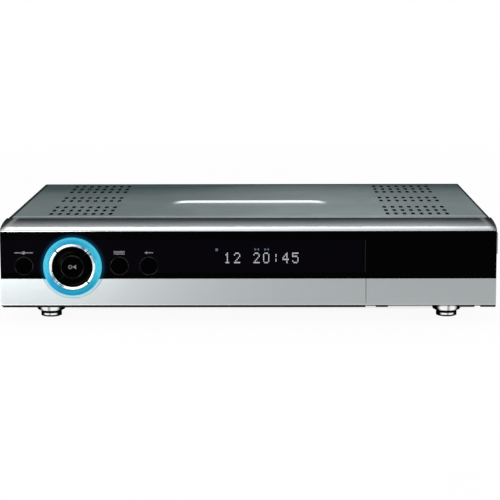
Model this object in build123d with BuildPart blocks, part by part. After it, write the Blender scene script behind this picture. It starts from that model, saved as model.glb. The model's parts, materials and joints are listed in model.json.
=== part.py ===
from build123d import *
from math import atan2, cos, degrees, pi, radians, sin
import os

# Satellite television receiver. X runs right, Y runs back, Z runs up; the origin is at the middle
# of its footprint, on the surface it stands on. "Depth" is measured back from the front face.

# ---- cabinet ----
body_width = 340.0
body_depth = 250.0
foot_height = 10.0
tray_t = 1.0
sheet_t = 0.8
fit = 0.1

# ---- front moulding ----
band_height = 18.9
window_height = 32.8
crown_rise = 4.8
crown_depth = 35.0
crown_wall = 2.2
bezel_wall = 2.5
bezel_floor_t = 2.0
partition_t = 2.5
window_t = 2.5
backing_t = 2.2
tongue_length = 6.0
seam_gap = 0.3
boss_wall = 2.0
boss_height = 8.0
boss_setback = 9.0
boss_inset = 60.0
boss_pitch = 90.0
boss_seam_gap = 24.0
pilot_depth = 6.0
pilot_wall = 2.0

# ---- cover ----
hem_chamfer = 0.5
side_screw_front = 25.0
side_screw_back = 35.0
flange_height = 14.0
flange_t = 1.0
recess_width = 0.6
recess_length = 2.6
tray_vent_inset = 60.0
tray_vent_rows = 7
tray_vent_pitch = 8.0
cover_bend_r = 2.0
slot_width = 2.6
slot_length = 11.0
slot_pitch_x = 6.05
slot_pitch_y = 19.3
slot_columns = 8
slot_field_inset = 28.6
slot_first_depth = 58.0
slot_rows = (0, 1, 2, 4, 5, 7, 8, 9)
emboss_length = 118.0
emboss_width = 30.0
emboss_wall = 3.0
emboss_drop = 1.2
emboss_depth = 122.0

# ---- navigation ring ----
ring_inset = 49.5
ring_rise = 8.6
ring_r = 20.0
ring_bore_r = 16.2
ring_proud = 3.0
ring_inner_proud = 2.4
collar_width = 1.5
collar_proud = 1.0
ring_boss_wall = 4.0
ring_flange = 1.7
ring_flange_t = 1.5
key_outer_r = 16.1
key_disc_r = 13.9
key_bore_r = 8.6
key_gap = 0.4
key_proud = 2.1
key_dish = 0.4
trim_bead = 0.6
key_shelf_depth = 1.0
key_back = 3.0
ok_r = 8.1
key_travel = 0.8
led_count = 8
leg_r = 1.0

# ---- round buttons ----
button_r = 5.8
button_fit = 0.15
button_rise = 8.9
button_proud = 0.8
button_back = 6.5
standby_offset = 33.4
menu_offset = 32.2
exit_pitch = 20.2

# ---- what the buttons run in and press on ----
stem_r = 2.0
stem_head_r = 2.6
stem_head_t = 1.0
carrier_t = 1.6
carrier_gap = 2.1
carrier_margin = 9.0
carrier_post_r = 2.2
carrier_post_inset = 3.0
carrier_end_gap = 3.0
guide_body_t = 3.3
board_t = 1.6
switch_side = 6.0
switch_body_t = 1.9
switch_plunger_r = 1.7
led_side = 2.4
led_t = 1.0

# ---- display ----
display_x = 9.4
display_width = 84.0
display_height = 22.0
display_t = 5.0
display_rise = 2.3
aperture_margin = 3.0
lead_row_inset = 2.0
lead_row_t = 1.0
lead_row_margin = 8.0
ir_seam_gap = 16.6
ir_r = 3.0
ir_body_width = 7.0
ir_body_height = 8.0
front_board_gap = 2.0
board_boss_gap = 10.0
board_boss_inset = 6.0

# ---- door ----
door_width = 89.4
door_gap = 0.4
hinge_depth = 5.5
hinge_rise = 5.5
hinge_pin_r = 1.0
hinge_fit = 0.05
knuckle_r = 2.7
knuckle_toe = 1.0
outer_knuckle_width = 8.2
lug_width = 3.4
lug_side_gap = 0.4
middle_knuckle_width = 10.2
corner_gap = 0.2
first_knuckle_offset = 7.2
bay_depth = 14.5
panel_t = 2.2
ceiling_t = 2.0
tab_proud = 0.8
tab_height = 14.2
tab_drop = 1.6
tab_inset = 0.4
toe_setback = 0.5
rib_bottom_drop = 8.0
rib_top_drop = 6.0
pin_reach = 1.0
magnet_width = 12.0
magnet_height = 4.0
strike_t = 1.0
door_rib_t = 1.5

# ---- slots behind the door ----
ci_offset = 43.4
ci_slot_width = 54.6
ci_slot_height = 5.6
ci_pitch = 9.0
ci_depth = 95.0
ci_rise = 17.5
ci_end_wall = 8.0
cage_leg = 4.0
cage_leg_depth = 45.0
cage_wall = 1.2
card_slot_width = 54.4
card_slot_height = 1.4
reader_height = 5.0
reader_depth = 40.0
eject_width = 4.0
eject_height = 5.0
eject_gap = 2.0
eject_length = 24.0
eject_proud = 3.0
eject_bevel = 0.5

# ---- boards ----
standoff_height = 6.0
standoff_r = 3.0
screw_r = 1.5
screw_fit = 0.1
screw_head_r = 2.8
screw_head_t = 1.8
screw_bite = 4.0
board_inset = 5.0
board_edge_gap = 6.0
board_front_gap = 1.0
board_split = 14.0
main_board_depth = 126.0
wing_margin = 10.0
standoff_setback = 20.0
power_board_width = 74.0
power_board_gap = 15.0

# ---- parts on the boards ----
chip_side = 27.0
chip_t = 2.4
chip_inset = 85.0
chip_setback = 42.0
memory_length = 18.0
memory_width = 9.0
memory_t = 1.2
memory_gap = 6.0
heatsink_base_t = 2.0
heatsink_height = 12.0
fin_count = 7
fin_t = 1.0
core_width = 46.0
core_depth = 20.0
core_height = 34.0
core_inset = 33.0
core_setback = 40.0
winding_width = 32.0
winding_depth = 40.0
winding_rise = 5.0
winding_r = 3.0
large_capacitor_r = 8.5
large_capacitor_height = 30.0
small_capacitor_r = 6.0
small_capacitor_height = 20.0
capacitor_setback = 88.0
capacitor_pitch = 17.5
capacitor_inset = 11.0
capacitor_rim = 0.8
sink_setback = 52.0
sink_width = 48.0
sink_t = 2.5
sink_height = 32.0
sink_fin_t = 1.5
sink_fin_depth = 9.0
fuse_r = 2.6
fuse_length = 20.0
fuse_rise = 5.0
fuse_inset = 16.0
fuse_setback = 30.0
clip_width = 7.0
clip_length = 4.0
ribbon_width = 32.0
ribbon_t = 0.8
ribbon_bend_r = 4.0
ribbon_inset = 45.0
ribbon_rise = 22.0
ribbon_landing = 12.0
wire_r = 0.9
wire_pitch = 2.4
wire_count = 4
wire_rise = 12.0
wire_bend_r = 5.0
wire_landing = 8.0
wire_gap = 15.0
lead_landing = 6.0

# ---- rear ----
rear_t = 1.0
rear_lip = 9.0
lip_screw_inset = 12.0
f_thread_r = 4.76
f_shank_r = 5.0
f_thread_length = 11.0
f_bore_r = 1.6
f_hex = 11.0
f_pitch = 26.0
nut_t = 2.4
f_inset = 24.0
can_width = 24.0
can_depth = 50.0
can_height = 19.0
scart_width = 50.0
scart_height = 16.0
scart_mouth_width = 43.0
scart_mouth_height = 9.0
scart_mouth_depth = 11.0
scart_body_depth = 22.0
scart_pitch = 54.0
scart_proud = 1.5
scart_corner_r = 1.5
rca_outer_r = 4.15
rca_bore_r = 1.6
rca_length = 9.0
rca_pitch = 14.0
rca_block_depth = 12.0
rca_flange_r = 5.2
rca_flange_t = 1.0
serial_width = 30.8
serial_height = 12.5
serial_mouth_width = 16.9
serial_mouth_height = 8.3
serial_proud = 5.8
serial_body_depth = 12.0
serial_wall = 0.5
serial_floor = 0.5
serial_corner_r = 2.0
serial_side_angle = 80.0
jack_offset = 12.5
jack_r = 2.6
jack_bore_r = 1.2
jack_setback = 1.0
inlet_width = 24.0
inlet_height = 18.0
inlet_mouth_width = 16.0
inlet_mouth_height = 9.4
inlet_mouth_depth = 13.0
inlet_body_depth = 17.0
inlet_pin_r = 1.2
inlet_pin_pitch = 8.6
inlet_pin_setback = 2.0
inlet_inset = 30.0
inlet_lip = 1.0
tag_width = 3.0
tag_t = 0.8
tag_length = 5.0
tag_pitch = 6.0
switch_offset = 29.0
rocker_width = 13.0
rocker_height = 19.0
rocker_angle = 9.0
rocker_pin_r = 1.2
rocker_pin_reach = 1.5
rocker_face = 6.0
rocker_back = 4.0
rocker_setback = 3.5
rocker_fit = 0.3
rocker_dish = 1.6
rocker_dish_r = 32.0
switch_wall = 2.0
switch_depth = 14.0
switch_floor = 3.0
switch_flange = 1.2
rear_row_rise = 13.0
rear_vent_count = 24
rear_vent_length = 8.0
rear_vent_drop = 8.0

# ---- feet ----
foot_inset_x = 31.5
foot_inset_y = 25.0
cup_flange_r = 11.5
cup_neck_r = 9.6
cup_base_r = 7.2
cup_groove = 0.6
cup_groove_height = 0.6
cup_ring_height = 2.6
cup_cone_height = 3.4
pad_r = 6.0
pad_hole_r = 3.5
pad_t = 2.0
pad_proud = 0.5
cup_flange_t = 1.2
cup_flange_lip = 0.8
foot_screw_seat = 5.0

# ---- levels and places worked out from the sizes above ----
tray_bottom = foot_height
bezel_bottom = tray_bottom + tray_t
band_top = bezel_bottom + band_height
window_top = band_top + window_height
cabinet_top = window_top + crown_rise
left_x = -body_width / 2
right_x = body_width / 2
front_y = -(body_depth + ring_proud + f_thread_length) / 2 + ring_proud
wall_back = window_t + backing_t
bezel_floor_top = bezel_bottom + bezel_floor_t
ring_x = left_x + ring_inset
ring_z = band_top + ring_rise
button_z = band_top + button_rise
ok_x = ring_x
standby_x = ring_x - standby_offset
menu_x = ring_x + menu_offset
exit_x = menu_x + exit_pitch
seam_x = right_x - door_width
door_left_x = seam_x + door_gap
hinge_z = bezel_bottom + hinge_rise
display_z = band_top + window_height / 2 + display_rise - backing_t
cover_front = crown_depth + seam_gap
tray_half = body_width / 2 - sheet_t - fit
foot_x = body_width / 2 - foot_inset_x
foot_depths = (foot_inset_y, body_depth - foot_inset_y)
lip_screws = [(side * (tray_half - lip_screw_inset), body_depth - rear_lip / 2) for side in (-1, 1)]

# The stack behind the ring: light guide, button carrier, stems, tact switches, front board.
guide_back = wall_back + guide_body_t
carrier_front = guide_back + carrier_gap
carrier_back = carrier_front + carrier_t
stem_head_front = carrier_back + fit
stem_tip = stem_head_front + stem_head_t
switch_front = stem_tip + key_travel + hinge_fit
front_board_front = switch_front + switch_body_t + key_travel
front_board_back = front_board_front + board_t
key_stem_orbit = (key_bore_r + key_disc_r) / 2
leg_orbit = (ring_bore_r + ring_r) / 2

tray_top = bezel_bottom
board_bottom = tray_top + standoff_height
board_top = board_bottom + board_t
cover_under = cabinet_top - sheet_t
ci_x = seam_x + ci_offset
ci_lower_z = bezel_bottom + ci_rise + ci_pitch
ci_upper_z = ci_lower_z + ci_pitch
eject_x = ci_x + ci_slot_width / 2 + cage_wall + eject_gap + eject_width / 2
panel_back = bay_depth + panel_t
panel_right = right_x - bezel_wall - fit
front_board_z = (bezel_floor_top + front_board_gap, window_top - front_board_gap)
ir_x = seam_x - ir_seam_gap
main_depths = (body_depth - rear_t - board_edge_gap - main_board_depth, body_depth - rear_t - board_edge_gap)
power_x = (left_x + board_edge_gap, left_x + board_edge_gap + power_board_width)
main_x = (power_x[1] + board_split, right_x - board_edge_gap)
card_z = ci_lower_z - ci_slot_height / 2 - cage_wall - reader_height / 2
rear_inside = body_depth - rear_t


# ---- helpers: each range is a pair of limits, depths count back from the front face ----
def front_plane(depth):
    """The plane across the cabinet at a depth. An extrude by minus a length runs back."""
    return Plane.XZ.offset(-(front_y + depth))


def block(x, depth, z, mode=Mode.ADD):
    middle = ((x[0] + x[1]) / 2, front_y + (depth[0] + depth[1]) / 2, (z[0] + z[1]) / 2)
    with Locations(middle):
        Box(x[1] - x[0], depth[1] - depth[0], z[1] - z[0], mode=mode)


def about(middle, width):
    """The range of a width about its middle."""
    return (middle - width / 2, middle + width / 2)


def rod(x, z, radius, depth, mode=Mode.ADD):
    """A round rod or hole that runs from front to back."""
    with Locations(Location((x, front_y + (depth[0] + depth[1]) / 2, z), (90, 0, 0))):
        Cylinder(radius, depth[1] - depth[0], mode=mode)


def cross_rod(x, depth, z, radius, mode=Mode.ADD):
    """A round rod or hole that runs from left to right."""
    with Locations(Location(((x[0] + x[1]) / 2, front_y + depth, z), (0, 90, 0))):
        Cylinder(radius, x[1] - x[0], mode=mode)


def post(x, depth, radius, z, mode=Mode.ADD):
    """A round post or hole that stands upright."""
    with Locations((x, front_y + depth, (z[0] + z[1]) / 2)):
        Cylinder(radius, z[1] - z[0], mode=mode)


def finish(builder, name):
    builder.part.label = name
    export_step(builder.part, f"parts/{name}.step")
    print(name, len(builder.part.solids()))


os.makedirs("parts", exist_ok=True)

# ================================================================ front bezel
screw_bosses = [left_x + boss_inset, left_x + boss_inset + boss_pitch, seam_x - boss_seam_gap]
boss_depth = crown_depth - boss_setback
boss_r = screw_r + boss_wall
ring_boss_r = ring_r + ring_boss_wall
board_boss_x = [display_x - display_width / 2 - board_boss_gap, seam_x - board_boss_gap]
board_boss_z = [front_board_z[0] + board_boss_inset, front_board_z[1] - board_boss_inset]
aperture_x = about(display_x, display_width - 2 * aperture_margin)
aperture_z = about(display_z, display_height - aperture_margin / 2)

with BuildPart() as front_bezel:
    # A moulding with the straight front and the crown that rises to the cover.
    with BuildSketch(Plane.YZ.offset(left_x)):
        with BuildLine():
            crown = EllipticalCenterArc(
                (front_y + crown_depth, window_top), crown_depth, crown_rise, 90, arc_size=90
            )
            Polyline(
                crown @ 1,
                (front_y, bezel_bottom),
                (front_y + crown_depth, bezel_bottom),
                crown @ 0,
            )
        make_face()
    extrude(amount=body_width)
    # Hollow from the back, with a rib that parts the door bay from the rest.
    for start_x, end_x in ((left_x + bezel_wall, seam_x - partition_t), (seam_x, right_x - bezel_wall)):
        with BuildSketch(Plane.YZ.offset(start_x)):
            with BuildLine():
                under_crown = EllipticalCenterArc(
                    (front_y + crown_depth, window_top),
                    crown_depth - wall_back,
                    crown_rise - crown_wall,
                    90,
                    arc_size=90,
                )
                Polyline(
                    under_crown @ 1,
                    (front_y + wall_back, band_top - backing_t),
                    (front_y + bezel_wall, band_top - backing_t),
                    (front_y + bezel_wall, bezel_floor_top),
                    (front_y + crown_depth, bezel_floor_top),
                    under_crown @ 0,
                )
            make_face()
        extrude(amount=end_x - start_x, mode=Mode.SUBTRACT)
    # Recess of the window, bay of the door.
    block((left_x, seam_x), (0, window_t), (band_top, window_top), Mode.SUBTRACT)
    block((seam_x, right_x), (0, bay_depth), (bezel_bottom, window_top), Mode.SUBTRACT)
    # Seat of the ring: a boss behind the wall and a collar on the band.
    rod(ring_x, ring_z, ring_boss_r, (bezel_wall, wall_back))
    with BuildSketch(front_plane(0)):
        with Locations((ring_x, ring_z)):
            Circle(ring_r + collar_width)
        with Locations((ring_x, band_top + ring_r)):
            Rectangle(4 * ring_r, 2 * ring_r, mode=Mode.SUBTRACT)
    extrude(amount=collar_proud)
    rod(ring_x, ring_z, ring_r + fit, (-ring_proud, wall_back), Mode.SUBTRACT)
    for button_x in (standby_x, menu_x, exit_x):
        rod(button_x, button_z, button_r + button_fit, (0, wall_back), Mode.SUBTRACT)
    block(aperture_x, (window_t, wall_back), aperture_z, Mode.SUBTRACT)
    rod(ir_x, display_z, ir_r + fit, (window_t, wall_back), Mode.SUBTRACT)
    # Tongue under the cover, bosses for the front board and for the screws through the tray.
    block(
        (left_x + 2 * bezel_wall, right_x - 2 * bezel_wall),
        (crown_depth, crown_depth + tongue_length),
        (cabinet_top - crown_wall, cover_under - fit),
    )
    for boss_x in board_boss_x:
        for boss_z in board_boss_z:
            wall = bezel_wall if boss_z < band_top else wall_back
            rod(boss_x, boss_z, boss_r, (wall, front_board_front))
            pilot = (wall + pilot_wall, front_board_front)
            rod(boss_x, boss_z, screw_r + screw_fit, pilot, Mode.SUBTRACT)
    for boss_x in screw_bosses:
        post(boss_x, boss_depth, boss_r, (bezel_floor_top, bezel_floor_top + boss_height))
        pilot = (bezel_bottom, bezel_floor_top + pilot_depth)
        post(boss_x, boss_depth, screw_r + screw_fit, pilot, Mode.SUBTRACT)
    # Way through the floor for the screws of the front feet.
    for side in (-1, 1):
        pilot = (bezel_bottom, bezel_floor_top)
        post(side * foot_x, foot_inset_y, screw_r + screw_fit, pilot, Mode.SUBTRACT)
    # Hole of the left hinge pin in the rib.
    cross_rod((seam_x - partition_t, seam_x), hinge_depth, hinge_z, hinge_pin_r, Mode.SUBTRACT)
finish(front_bezel, "front_bezel")

# ================================================================ front window
with BuildPart() as front_window:
    block((left_x, seam_x), (0, window_t), (band_top, window_top))
    rod(ring_x, ring_z, ring_r + fit, (0, window_t), Mode.SUBTRACT)
    for button_x in (standby_x, menu_x, exit_x):
        rod(button_x, button_z, button_r + button_fit, (0, window_t), Mode.SUBTRACT)
finish(front_window, "front_window")

# ================================================================ chassis tray
side_screw_depths = (crown_depth + side_screw_front, body_depth / 2, body_depth - side_screw_back)
side_screw_z = tray_top + flange_height / 2

with BuildPart() as chassis_tray:
    block((-tray_half, tray_half), (seam_gap, body_depth), (tray_bottom, tray_top))
    # The sheet is cut back under the door, whose hinge toes swing below it.
    block((seam_x, right_x), (0, bay_depth), (tray_bottom, tray_top), Mode.SUBTRACT)
    for side in (-1, 1):
        flange_x = sorted((side * tray_half, side * (tray_half - flange_t)))
        flange_depths = (cover_front, body_depth - rear_lip - seam_gap)
        block(flange_x, flange_depths, (tray_top, tray_top + flange_height))
        for depth in side_screw_depths:
            cross_rod(flange_x, depth, side_screw_z, screw_r + screw_fit, Mode.SUBTRACT)
        for depth in foot_depths:
            post(side * foot_x, depth, screw_r + screw_fit, (tray_bottom, tray_top), Mode.SUBTRACT)
    for boss_x in screw_bosses:
        post(boss_x, boss_depth, screw_r + screw_fit, (tray_bottom, tray_top), Mode.SUBTRACT)
    for screw_x, depth in lip_screws:
        post(screw_x, depth, screw_r + screw_fit, (tray_bottom, tray_top), Mode.SUBTRACT)
    # Air slots under the boards.
    with BuildSketch(Plane.XY.offset(tray_bottom)):
        for field_x in (left_x + tray_vent_inset, right_x - tray_vent_inset):
            with Locations((field_x, front_y + body_depth / 2)):
                with GridLocations(slot_length * 2, tray_vent_pitch, 2, tray_vent_rows):
                    SlotOverall(slot_length, slot_width)
    extrude(amount=tray_t, mode=Mode.SUBTRACT)
finish(chassis_tray, "chassis_tray")

# ================================================================ top cover
emboss_taper = degrees(atan2(emboss_wall, emboss_drop))
field_width = (slot_columns - 1) * slot_pitch_x
with BuildPart() as top_cover:
    # Folded sheet: rounded bends along both top edges, open underneath.
    with BuildSketch(front_plane(cover_front)):
        with BuildLine():
            FilletPolyline(
                (left_x, bezel_bottom),
                (left_x, cabinet_top),
                (right_x, cabinet_top),
                (right_x, bezel_bottom),
                radius=cover_bend_r,
            )
            FilletPolyline(
                (left_x + sheet_t, bezel_bottom),
                (left_x + sheet_t, cover_under),
                (right_x - sheet_t, cover_under),
                (right_x - sheet_t, bezel_bottom),
                radius=cover_bend_r - sheet_t,
            )
            Line((left_x, bezel_bottom), (left_x + sheet_t, bezel_bottom))
            Line((right_x - sheet_t, bezel_bottom), (right_x, bezel_bottom))
        make_face()
    extrude(amount=-(body_depth - cover_front))
    # The front hem is bevelled where it meets the crown.
    hem = edges().filter_by(Axis.X).filter_by(lambda e: e.center().Z > cover_under + fit).sort_by(Axis.Y)[0]
    chamfer(hem, length=hem_chamfer)
    # Pressed recess in the middle of the top.
    with BuildSketch(Plane.XY.offset(cover_under)):
        with Locations((0, front_y + emboss_depth)):
            SlotOverall(emboss_length, emboss_width)
    extrude(amount=-emboss_drop, taper=emboss_taper)
    with BuildSketch(Plane.XY.offset(cabinet_top)):
        with Locations((0, front_y + emboss_depth)):
            SlotOverall(emboss_length, emboss_width)
    extrude(amount=-emboss_drop, taper=emboss_taper, mode=Mode.SUBTRACT)
    # Two fields of air slots.
    with BuildSketch(Plane.XY.offset(cover_under)):
        for side in (-1, 1):
            field_x = side * (body_width / 2 - slot_field_inset - field_width / 2)
            for row in slot_rows:
                with Locations((field_x, front_y + slot_first_depth + row * slot_pitch_y)):
                    with GridLocations(slot_pitch_x, slot_pitch_y, slot_columns, 1):
                        SlotOverall(slot_length, slot_width, rotation=90)
    extrude(amount=sheet_t, mode=Mode.SUBTRACT)
    for side in (-1, 1):
        skirt_x = sorted((side * right_x, side * (right_x - sheet_t)))
        for depth in side_screw_depths:
            cross_rod(skirt_x, depth, side_screw_z, screw_r + screw_fit, Mode.SUBTRACT)
finish(top_cover, "top_cover")

# ================================================================ cover screws
with BuildPart() as cover_screws:
    for side in (-1, 1):
        for depth in side_screw_depths:
            shank_x = sorted((side * right_x, side * (tray_half - flange_t - screw_bite)))
            head_x = sorted((side * right_x, side * (right_x + screw_head_t)))
            cross_rod(shank_x, depth, side_screw_z, screw_r)
            cross_rod(head_x, depth, side_screw_z, screw_head_r)
    rims = edges().filter_by(GeomType.CIRCLE)
    rims = rims.filter_by(lambda e: abs(e.center().X) > right_x + screw_head_t / 2)
    fillet(rims, radius=screw_head_t / 2)
    # Cross recess in each head.
    for side in (-1, 1):
        for depth in side_screw_depths:
            recess_x = sorted((side * (right_x + screw_head_t / 2), side * (right_x + screw_head_t)))
            for along, up in ((recess_length, recess_width), (recess_width, recess_length)):
                block(recess_x, about(depth, along), about(side_screw_z, up), Mode.SUBTRACT)
finish(cover_screws, "cover_screws")

# ================================================================ ring light guide
def ring_plane(angle):
    """Half plane through the axis of the ring: local x is the radius, local y the depth."""
    outward = (cos(radians(angle)), 0, sin(radians(angle)))
    across = (-sin(radians(angle)), 0, cos(radians(angle)))
    return Plane(origin=(ring_x, front_y, ring_z), x_dir=outward, z_dir=across)


ring_axis = Axis((ring_x, front_y, ring_z), (0, 1, 0))
leg_angles = [360 / led_count * (number + 0.5) for number in range(led_count)]
leg_centres = [
    (ring_x + leg_orbit * cos(radians(a)), ring_z + leg_orbit * sin(radians(a))) for a in leg_angles
]
led_front = front_board_front - led_t
leg_back = led_front - fit

with BuildPart() as ring_light_guide:
    with BuildSketch(ring_plane(0)):
        with BuildLine():
            dome = ThreePointArc(
                (ring_bore_r, -ring_inner_proud),
                (leg_orbit, -ring_proud),
                (ring_r, -collar_proud),
            )
            Polyline(
                dome @ 1,
                (ring_r, wall_back),
                (ring_r + ring_flange, wall_back),
                (ring_r + ring_flange, wall_back + ring_flange_t),
                (ring_r, wall_back + ring_flange_t),
                (ring_r, guide_back),
                (ring_bore_r, guide_back),
                dome @ 0,
            )
        make_face()
    revolve(axis=ring_axis)
    for leg_x, leg_z in leg_centres:
        rod(leg_x, leg_z, leg_r, (guide_back, leg_back))
finish(ring_light_guide, "ring_light_guide")

# ================================================================ navigation keys
key_arc = 90 - degrees(key_gap / key_bore_r)
key_angles = {"right": 0, "up": 90, "left": 180, "down": 270}


def stem(x, z, cap_back):
    """Stem of a button with the snap head behind the carrier."""
    rod(x, z, stem_r, (cap_back, stem_head_front))
    rod(x, z, stem_head_r, (stem_head_front, stem_tip))


def nav_key(angle):
    with BuildPart() as key:
        with BuildSketch(ring_plane(angle + key_arc / 2)):
            with BuildLine():
                dish = ThreePointArc(
                    (key_bore_r, -key_proud),
                    (key_stem_orbit, key_dish - key_proud),
                    (key_disc_r, -key_proud),
                )
                Polyline(
                    dish @ 1,
                    (key_disc_r, key_shelf_depth),
                    (key_outer_r, key_shelf_depth),
                    (key_outer_r, key_back),
                    (key_bore_r, key_back),
                    dish @ 0,
                )
            make_face()
        revolve(axis=ring_axis, revolution_arc=key_arc)
        stem_x = ring_x + key_stem_orbit * cos(radians(angle))
        stem_z = ring_z + key_stem_orbit * sin(radians(angle))
        stem(stem_x, stem_z, key_back)
    return key


def nav_trim(angle):
    with BuildPart() as trim:
        with BuildSketch(ring_plane(angle + key_arc / 2)):
            with BuildLine():
                bead = ThreePointArc(
                    (key_disc_r, -key_proud),
                    ((key_disc_r + key_outer_r) / 2, -key_proud - trim_bead),
                    (key_outer_r, -key_proud),
                )
                Polyline(
                    bead @ 1, (key_outer_r, key_shelf_depth), (key_disc_r, key_shelf_depth), bead @ 0
                )
            make_face()
        revolve(axis=ring_axis, revolution_arc=key_arc)
    return trim


for direction, direction_angle in key_angles.items():
    finish(nav_key(direction_angle), f"nav_{direction}_key")
    finish(nav_trim(direction_angle), f"nav_{direction}_trim")


# ================================================================ round buttons
def round_button(x, z, radius, proud, cap_back):
    with BuildPart() as button:
        rod(x, z, radius, (-proud, cap_back))
        front_rim = button.edges().filter_by(GeomType.CIRCLE).sort_by(Axis.Y)[0]
        fillet(front_rim, radius=proud / 2)
        stem(x, z, cap_back)
    return button


finish(round_button(ok_x, ring_z, ok_r, key_proud, key_back), "ok_button")
finish(round_button(standby_x, button_z, button_r, button_proud, button_back), "standby_button")
finish(round_button(menu_x, button_z, button_r, button_proud, button_back), "menu_button")
finish(round_button(exit_x, button_z, button_r, button_proud, button_back), "exit_button")

# ================================================================ button carrier
stem_centres = [(ok_x, ring_z)]
for stem_angle in key_angles.values():
    orbit_x = ring_x + key_stem_orbit * cos(radians(stem_angle))
    orbit_z = ring_z + key_stem_orbit * sin(radians(stem_angle))
    stem_centres.append((orbit_x, orbit_z))
for button_x in (standby_x, menu_x, exit_x):
    stem_centres.append((button_x, button_z))
carrier_x = (standby_x - carrier_margin, exit_x + carrier_margin)
carrier_z = (bezel_floor_top + carrier_end_gap, window_top - carrier_end_gap)
carrier_post_x = (carrier_x[0] + carrier_post_inset, carrier_x[1] - carrier_post_inset)
carrier_post_z = (carrier_z[0] + carrier_post_inset, carrier_z[1] - carrier_post_inset)

with BuildPart() as button_carrier:
    block(carrier_x, (carrier_front, carrier_back), carrier_z)
    for centre_x, centre_z in stem_centres:
        rod(centre_x, centre_z, stem_r + hinge_fit, (carrier_front, carrier_back), Mode.SUBTRACT)
    for leg_x, leg_z in leg_centres:
        rod(leg_x, leg_z, leg_r + fit, (carrier_front, carrier_back), Mode.SUBTRACT)
    for post_x in carrier_post_x:
        for post_z in carrier_post_z:
            wall = bezel_wall if post_z < band_top else wall_back
            rod(post_x, post_z, carrier_post_r, (wall, carrier_front))
            rod(post_x, post_z, carrier_post_r, (carrier_back, front_board_front))
finish(button_carrier, "button_carrier")

# ================================================================ front board and what it holds
front_board_x = (carrier_x[0], seam_x - board_inset)
with BuildPart() as front_board:
    block(front_board_x, (front_board_front, front_board_back), front_board_z)
    for boss_x in board_boss_x:
        for boss_z in board_boss_z:
            depths = (front_board_front, front_board_back)
            rod(boss_x, boss_z, screw_r + screw_fit, depths, Mode.SUBTRACT)
finish(front_board, "front_board")

with BuildPart() as tact_switches:
    for centre_x, centre_z in stem_centres:
        body_front = front_board_front - switch_body_t
        block(
            about(centre_x, switch_side), (body_front, front_board_front), about(centre_z, switch_side)
        )
        rod(centre_x, centre_z, switch_plunger_r, (switch_front, body_front))
finish(tact_switches, "tact_switches")

with BuildPart() as ring_leds:
    for leg_x, leg_z in leg_centres:
        block(about(leg_x, led_side), (led_front, front_board_front), about(leg_z, led_side))
finish(ring_leds, "ring_leds")

display_back = wall_back + display_t
with BuildPart() as display_module:
    block(about(display_x, display_width), (wall_back, display_back), about(display_z, display_height))
    # Lead rows that carry the glass on the front board.
    lead_x = about(display_x, display_width - 2 * lead_row_margin)
    for lead_z in about(display_z, display_height - 2 * lead_row_inset):
        block(lead_x, (display_back, front_board_front), about(lead_z, lead_row_t))
finish(display_module, "display_module")

with BuildPart() as ir_receiver:
    rod(ir_x, display_z, ir_r, (window_t, wall_back))
    body_x = about(ir_x, ir_body_width)
    block(body_x, (wall_back, front_board_front), about(display_z, ir_body_height))
finish(ir_receiver, "ir_receiver")

# ================================================================ door
door_top = window_top - corner_gap
door_bottom = bezel_bottom
right_knuckle = (right_x - corner_gap - middle_knuckle_width, right_x - corner_gap)
lug_x = (right_knuckle[0] - lug_side_gap - lug_width, right_knuckle[0] - lug_side_gap)
middle_knuckle = (lug_x[0] - lug_side_gap - middle_knuckle_width, lug_x[0] - lug_side_gap)
left_knuckle = (seam_x + first_knuckle_offset, seam_x + first_knuckle_offset + outer_knuckle_width)
knuckles = (left_knuckle, middle_knuckle, right_knuckle)
relief_x = (lug_x[0] - lug_side_gap, lug_x[1] + lug_side_gap)

with BuildPart() as door_carrier:
    block((door_left_x, right_x), (window_t, wall_back), (door_bottom, door_top))
    for knuckle_x in knuckles:
        # Barrel around the pin, web to the plate, toe under the trim.
        cross_rod(knuckle_x, hinge_depth, hinge_z, knuckle_r)
        block(knuckle_x, (window_t, hinge_depth), (door_bottom, hinge_z + knuckle_r))
        block(knuckle_x, (toe_setback, hinge_depth), (door_bottom - knuckle_toe, door_bottom))
    for rib_x in ((door_left_x, door_left_x + door_rib_t), (right_x - door_rib_t, right_x)):
        rib_z = (band_top - rib_bottom_drop, door_top - rib_top_drop)
        block(rib_x, (wall_back, wall_back + door_rib_t), rib_z)
    # Clearance for the lug between the knuckles, bores of the pins.
    relief_z = (door_bottom, hinge_z + knuckle_r + 2 * lug_side_gap)
    block(relief_x, (window_t, hinge_depth + knuckle_r), relief_z, Mode.SUBTRACT)
    cross_rod((door_left_x, right_x), hinge_depth, hinge_z, hinge_pin_r + hinge_fit, Mode.SUBTRACT)
finish(door_carrier, "door_carrier")

with BuildPart() as door_trim:
    block((door_left_x, right_x), (0, window_t), (door_bottom, band_top))
    # Finger tab on the end of the door.
    tab_top = window_top - tab_drop
    tab_depths = (tab_inset, wall_back - tab_inset)
    block((right_x, right_x + tab_proud), tab_depths, (tab_top - tab_height, tab_top))
finish(door_trim, "door_trim")

with BuildPart() as door_window:
    block((door_left_x, right_x), (0, window_t), (band_top, door_top))
finish(door_window, "door_window")

with BuildPart() as door_hinge_pins:
    left_pin = (seam_x - partition_t, left_knuckle[1] - pin_reach)
    right_pin = (middle_knuckle[0] + pin_reach, right_knuckle[1] - pin_reach)
    for pin_x in (left_pin, right_pin):
        cross_rod(pin_x, hinge_depth, hinge_z, hinge_pin_r)
finish(door_hinge_pins, "door_hinge_pins")

door_middle_x = (seam_x + right_x) / 2
magnet_z = (door_top - ceiling_t - corner_gap - magnet_height, door_top - ceiling_t - corner_gap)
with BuildPart() as door_strike_plate:
    block(about(door_middle_x, magnet_width), (wall_back, wall_back + strike_t), magnet_z)
finish(door_strike_plate, "door_strike_plate")

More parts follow.
